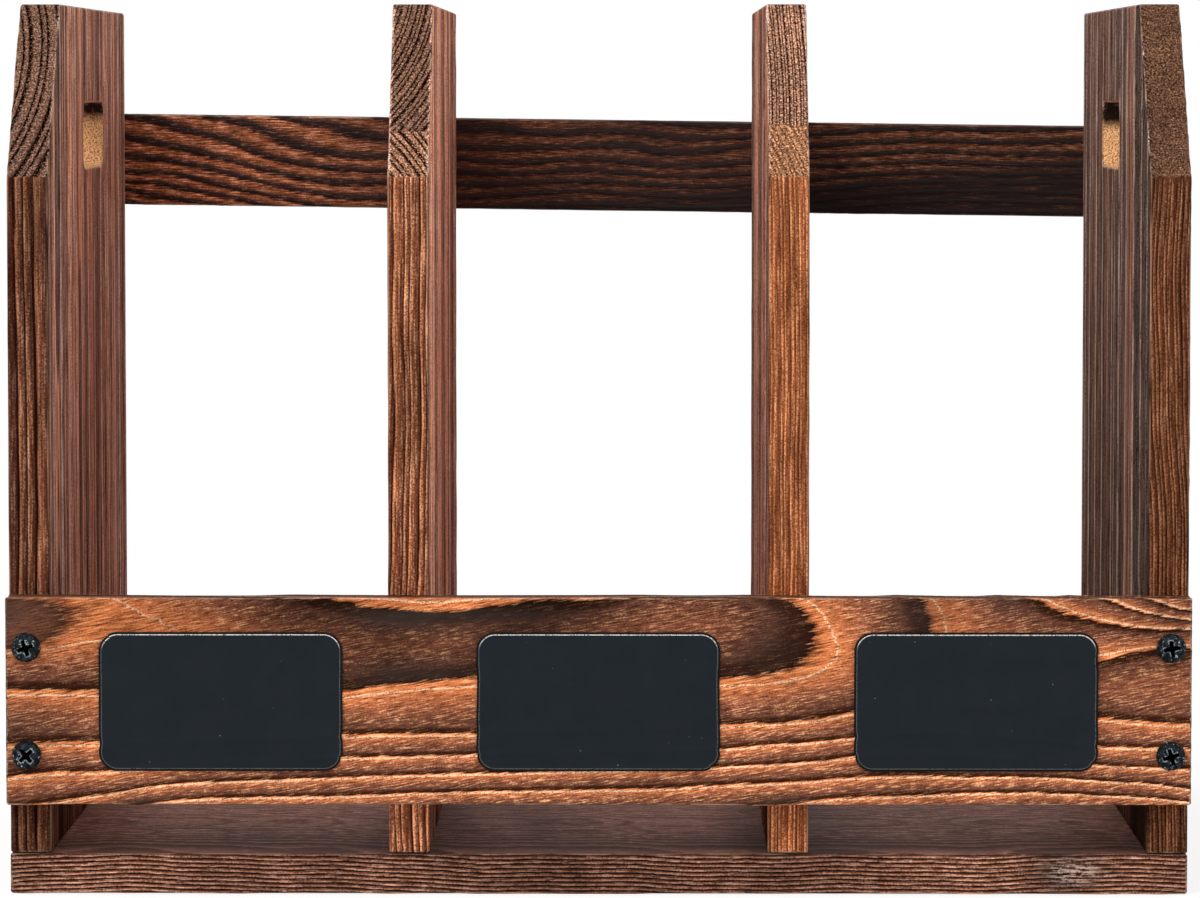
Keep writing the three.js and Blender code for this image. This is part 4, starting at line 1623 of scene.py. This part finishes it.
def pan_head():
    """Rows of a pan head: height = H (1 - (r/R)^(2/p))^(p/2), a ball pressed flatter."""
    inner = np.linspace(0, RECESS_FIELD, RECESS_ROWS)
    outer = PAN_HEAD * np.cos(np.linspace(math.acos(RECESS_FIELD / PAN_HEAD), 0, 12)[1:])
    radius = np.concatenate([inner, outer])
    share = np.clip(1 - (radius / PAN_HEAD) ** (2 / DOME_POWER), 0, 1)
    return list(zip(radius, PAN_HEIGHT * share ** (DOME_POWER / 2)))


def place_screw(name, parts, seat, out, turn, material):
    """Stands a screw at its seat with its head pointing out, turned round its own axis."""
    points, _, _, sunk, rubbed, triangles = parts
    out = np.array(out, float)
    side = np.cross(out, (1.0, 0.0, 0.0) if abs(out[0]) < 0.5 else (0.0, 1.0, 0.0))
    side /= np.linalg.norm(side)
    other = np.cross(out, side)
    cos, sin = math.cos(turn), math.sin(turn)
    first, second = cos * side + sin * other, -sin * side + cos * other
    placed = np.array(seat) + points[:, :1] * first + points[:, 1:2] * second + points[:, 2:] * out
    attributes = {"sunk": sunk, "rubbed": rubbed}
    make_piece(name + "_steel", placed, triangles, material, [name], attributes)


def screw_material(context):
    """The steel that all the screws share, made once."""
    made = bpy.data.materials.get("blackened_screws")
    return made or steel_material(context.scene.organizer_fittings)


class BuildFrontScrews(bpy.types.Operator):
    """Build the four black pan-head screws at the front board's ends"""

    bl_idname = "organizer.front_screws"
    bl_label = "Front Screws"

    def execute(self, context):
        parts = screw_surface(pan_head(), 0.0, PAN_SHANK, PAN_LENGTH, PAN_SIDES)
        bottom, top = BOX["front_board"][0][2], BOX["front_board"][1][2]
        heights = {"upper": top - FRONT_SCREW_INSET, "lower": bottom + FRONT_SCREW_INSET}
        turns = iter(FRONT_SCREW_TURNS)
        for side in SIDES:
            for row, z in heights.items():
                seat = (UPRIGHT_X[side], FRONT_FACE, z)
                name = f"{side}_front_screw_{row}"
                place_screw(name, parts, seat, (0, -1, 0), next(turns), screw_material(context))
        return {"FINISHED"}


class BuildRailScrews(bpy.types.Operator):
    """Build the pan-head screws that fix the rail to each upright"""

    bl_idname = "organizer.rail_screws"
    bl_label = "Rail Screws"

    def execute(self, context):
        parts = screw_surface(pan_head(), 0.0, PAN_SHANK, PAN_LENGTH, PAN_SIDES)
        back = BOX["back_rail"][1][1]
        for name, x in UPRIGHT_X.items():
            seat = (x, back, RAIL_MIDDLE - x * math.tan(RAIL_SLANT))
            turn = 5 * x / (10 * MM)
            place_screw(f"{name}_rail_screw", parts, seat, (0, 1, 0), turn, screw_material(context))
        return {"FINISHED"}


class BuildBaseScrews(bpy.types.Operator):
    """Build the countersunk screws that hold the base to each upright"""

    bl_idname = "organizer.base_screws"
    bl_label = "Base Screws"

    def execute(self, context):
        inner = np.linspace(0, RECESS_FIELD, RECESS_ROWS)
        radii = np.concatenate([inner, [3.3 * MM, 3.8 * MM, FLAT_HEAD]])
        head = [(radius, 0.0) for radius in radii]
        parts = screw_surface(head, -FLAT_DEPTH, FLAT_SHANK, FLAT_LENGTH, FLAT_SIDES)
        low, high = BOX["base_board"]
        places = {"front": low[1] + BASE_SCREW_INSET, "back": high[1] - BASE_SCREW_INSET}
        for name, x in UPRIGHT_X.items():
            for row, y in places.items():
                seat = (x, y, low[2] + FLAT_SINK)
                turn = 7 * x / (10 * MM) + y / (10 * MM)
                screw = f"{name}_base_screw_{row}"
                place_screw(screw, parts, seat, (0, 0, -1), turn, screw_material(context))
        return {"FINISHED"}


# Stage

# Each lamp's place, what it faces, its width and its height, in metres
LAMPS = {
    "key": ((-0.9, -1.5, 1.5), (0, 0, 0.12), 1.4, 1.0),
    "fill": ((1.4, -1.1, 0.5), (0, 0, 0.12), 0.9, 1.2),
    "top": ((0.0, 0.3, 1.8), (0, 0, 0.1), 1.6, 1.2),
}
SENSOR_WIDTH = 36
SEEN_FROM, SEEN_TO = 0.05, 100
FLOOR_REACH = 4.0
WHITE = (1, 1, 1, 1)


def soft_light(name, place, aim, width, height, power):
    """An area lamp at a place, facing an aim."""
    lamp = bpy.data.lights.new(name, "AREA")
    lamp.shape = "RECTANGLE"
    lamp.size, lamp.size_y = width, height
    lamp.energy = power
    lit = bpy.data.objects.new(name, lamp)
    way = np.array(aim, float) - place
    lit.location = place
    yaw = math.atan2(way[0], -way[1])
    pitch = math.atan2(math.hypot(way[0], way[1]), -way[2])
    lit.rotation_euler = (pitch, 0, yaw + math.pi)
    bpy.context.scene.collection.objects.link(lit)


def seen_as_background(shader):
    """1 for rays from the camera and those that gloss and glass send on, and 0 for the rest."""
    camera = shader.node("ShaderNodeLightPath", output="Is Camera Ray")
    gloss = shader.node("ShaderNodeLightPath", output="Is Glossy Ray")
    glass = shader.node("ShaderNodeLightPath", output="Is Transmission Ray")
    return camera.math("MAXIMUM", camera.math("MAXIMUM", camera, gloss), glass)


def floor_material(glow):
    """A pale floor that shows white to the camera, and round the object takes its soft shadow."""
    shader = Shader(bpy.data.materials.new("white_floor"))
    plain = shader.node("ShaderNodeBsdfDiffuse", None, {"Color": (0.8, 0.8, 0.8, 1)})
    share = 1.4 * (1 - glow)
    thin = shader.node("ShaderNodeBsdfDiffuse", None, {"Color": (share, share, share, 1)})
    white = shader.node("ShaderNodeEmission", None, {"Color": WHITE, "Strength": glow})
    near = shader.node("ShaderNodeAddShader", None, {0: thin, 1: white})
    metres = shader.place((1.0,) * 3)
    away = shader.node("ShaderNodeVectorMath", {"operation": "LENGTH"}, {0: metres}, "Value")
    beyond = shader.between(away, 0.4, 0.8)
    far = shader.node("ShaderNodeEmission", None, {"Color": WHITE, "Strength": 1.0})
    bright = shader.node("ShaderNodeMixShader", None, {0: beyond, 1: near, 2: far})
    sockets = {0: seen_as_background(shader), 1: plain, 2: bright}
    return shader.finish(shader.node("ShaderNodeMixShader", None, sockets))


class BuildStage(bpy.types.Operator):
    """Build the camera, the lamps, the white surroundings and the floor"""

    bl_idname = "organizer.stage"
    bl_label = "Stage"

    def execute(self, context):
        look = context.scene.organizer_stage
        camera = bpy.data.cameras.new("camera")
        camera.lens = look.lens
        camera.sensor_width = SENSOR_WIDTH
        camera.clip_start, camera.clip_end = SEEN_FROM, SEEN_TO
        seat = bpy.data.objects.new("camera", camera)
        seat.location = look.camera_place
        seat.rotation_euler = look.camera_turn
        context.scene.collection.objects.link(seat)
        context.scene.camera = seat
        context.scene.view_settings.view_transform = "Standard"

        for name, (place, aim, width, height) in LAMPS.items():
            power = getattr(look, name + "_power")
            soft_light(name + "_light", place, aim, width, height, power)
        self.set_world(context, look)
        self.add_floor(look)
        return {"FINISHED"}

    def set_world(self, context, look):
        """White to the camera and in reflections, and a plain even light on everything."""
        world = bpy.data.worlds.new("white_surroundings")
        shader = Shader(world)
        seen = seen_as_background(shader)
        strength = look.ambient + seen * (1 - look.ambient)
        light = shader.node("ShaderNodeBackground", None, {"Color": WHITE, "Strength": strength})
        shader.node("ShaderNodeOutputWorld", None, {"Surface": light})
        context.scene.world = world

    def add_floor(self, look):
        """A square of floor, flat where the object stands."""
        corners = np.linspace(-FLOOR_REACH, FLOOR_REACH, 9)
        x, y = np.meshgrid(corners, corners, indexing="ij")
        points = np.stack([x, y, np.zeros_like(x)], axis=-1)
        quads = np.stack(cell_corners(*x.shape), axis=-1).reshape(-1, 4)
        mesh = bpy.data.meshes.new("floor")
        mesh.from_pydata(points.reshape(-1, 3), [], quads)
        mesh.materials.append(floor_material(look.floor_glow))
        floor = bpy.data.objects.new("floor", mesh)
        bpy.context.scene.collection.objects.link(floor)


OPERATORS = (
    BuildStage,
    BuildFrontBoard,
    BuildRail,
    BuildBase,
    BuildUprights,
    BuildLabels,
    BuildFrontScrews,
    BuildRailScrews,
    BuildBaseScrews,
)


class OrganizerPanel(bpy.types.Panel):
    """Lists what can be built"""

    bl_idname = "VIEW3D_PT_organizer"
    bl_label = "Desk Organizer"
    bl_space_type = "VIEW_3D"
    bl_region_type = "UI"
    bl_category = "Organizer"

    def draw(self, context):
        """One button for each operator."""
        for operator in OPERATORS:
            self.layout.operator(operator.bl_idname)


CLASSES = (*SETTINGS.values(), *OPERATORS, OrganizerPanel)


def register():
    """Registers the classes and hangs their settings on the scene."""
    for item in CLASSES:
        bpy.utils.register_class(item)
    for name, group in SETTINGS.items():
        setattr(bpy.types.Scene, name, bpy.props.PointerProperty(type=group))


def unregister():
    """Takes back what register did."""
    for name in SETTINGS:
        delattr(bpy.types.Scene, name)
    for item in reversed(CLASSES):
        bpy.utils.unregister_class(item)


def main():
    """Builds everything in order."""
    register()
    for operator in OPERATORS:
        family, name = operator.bl_idname.split(".")
        getattr(getattr(bpy.ops, family), name)()


if __name__ == "__main__":
    main()
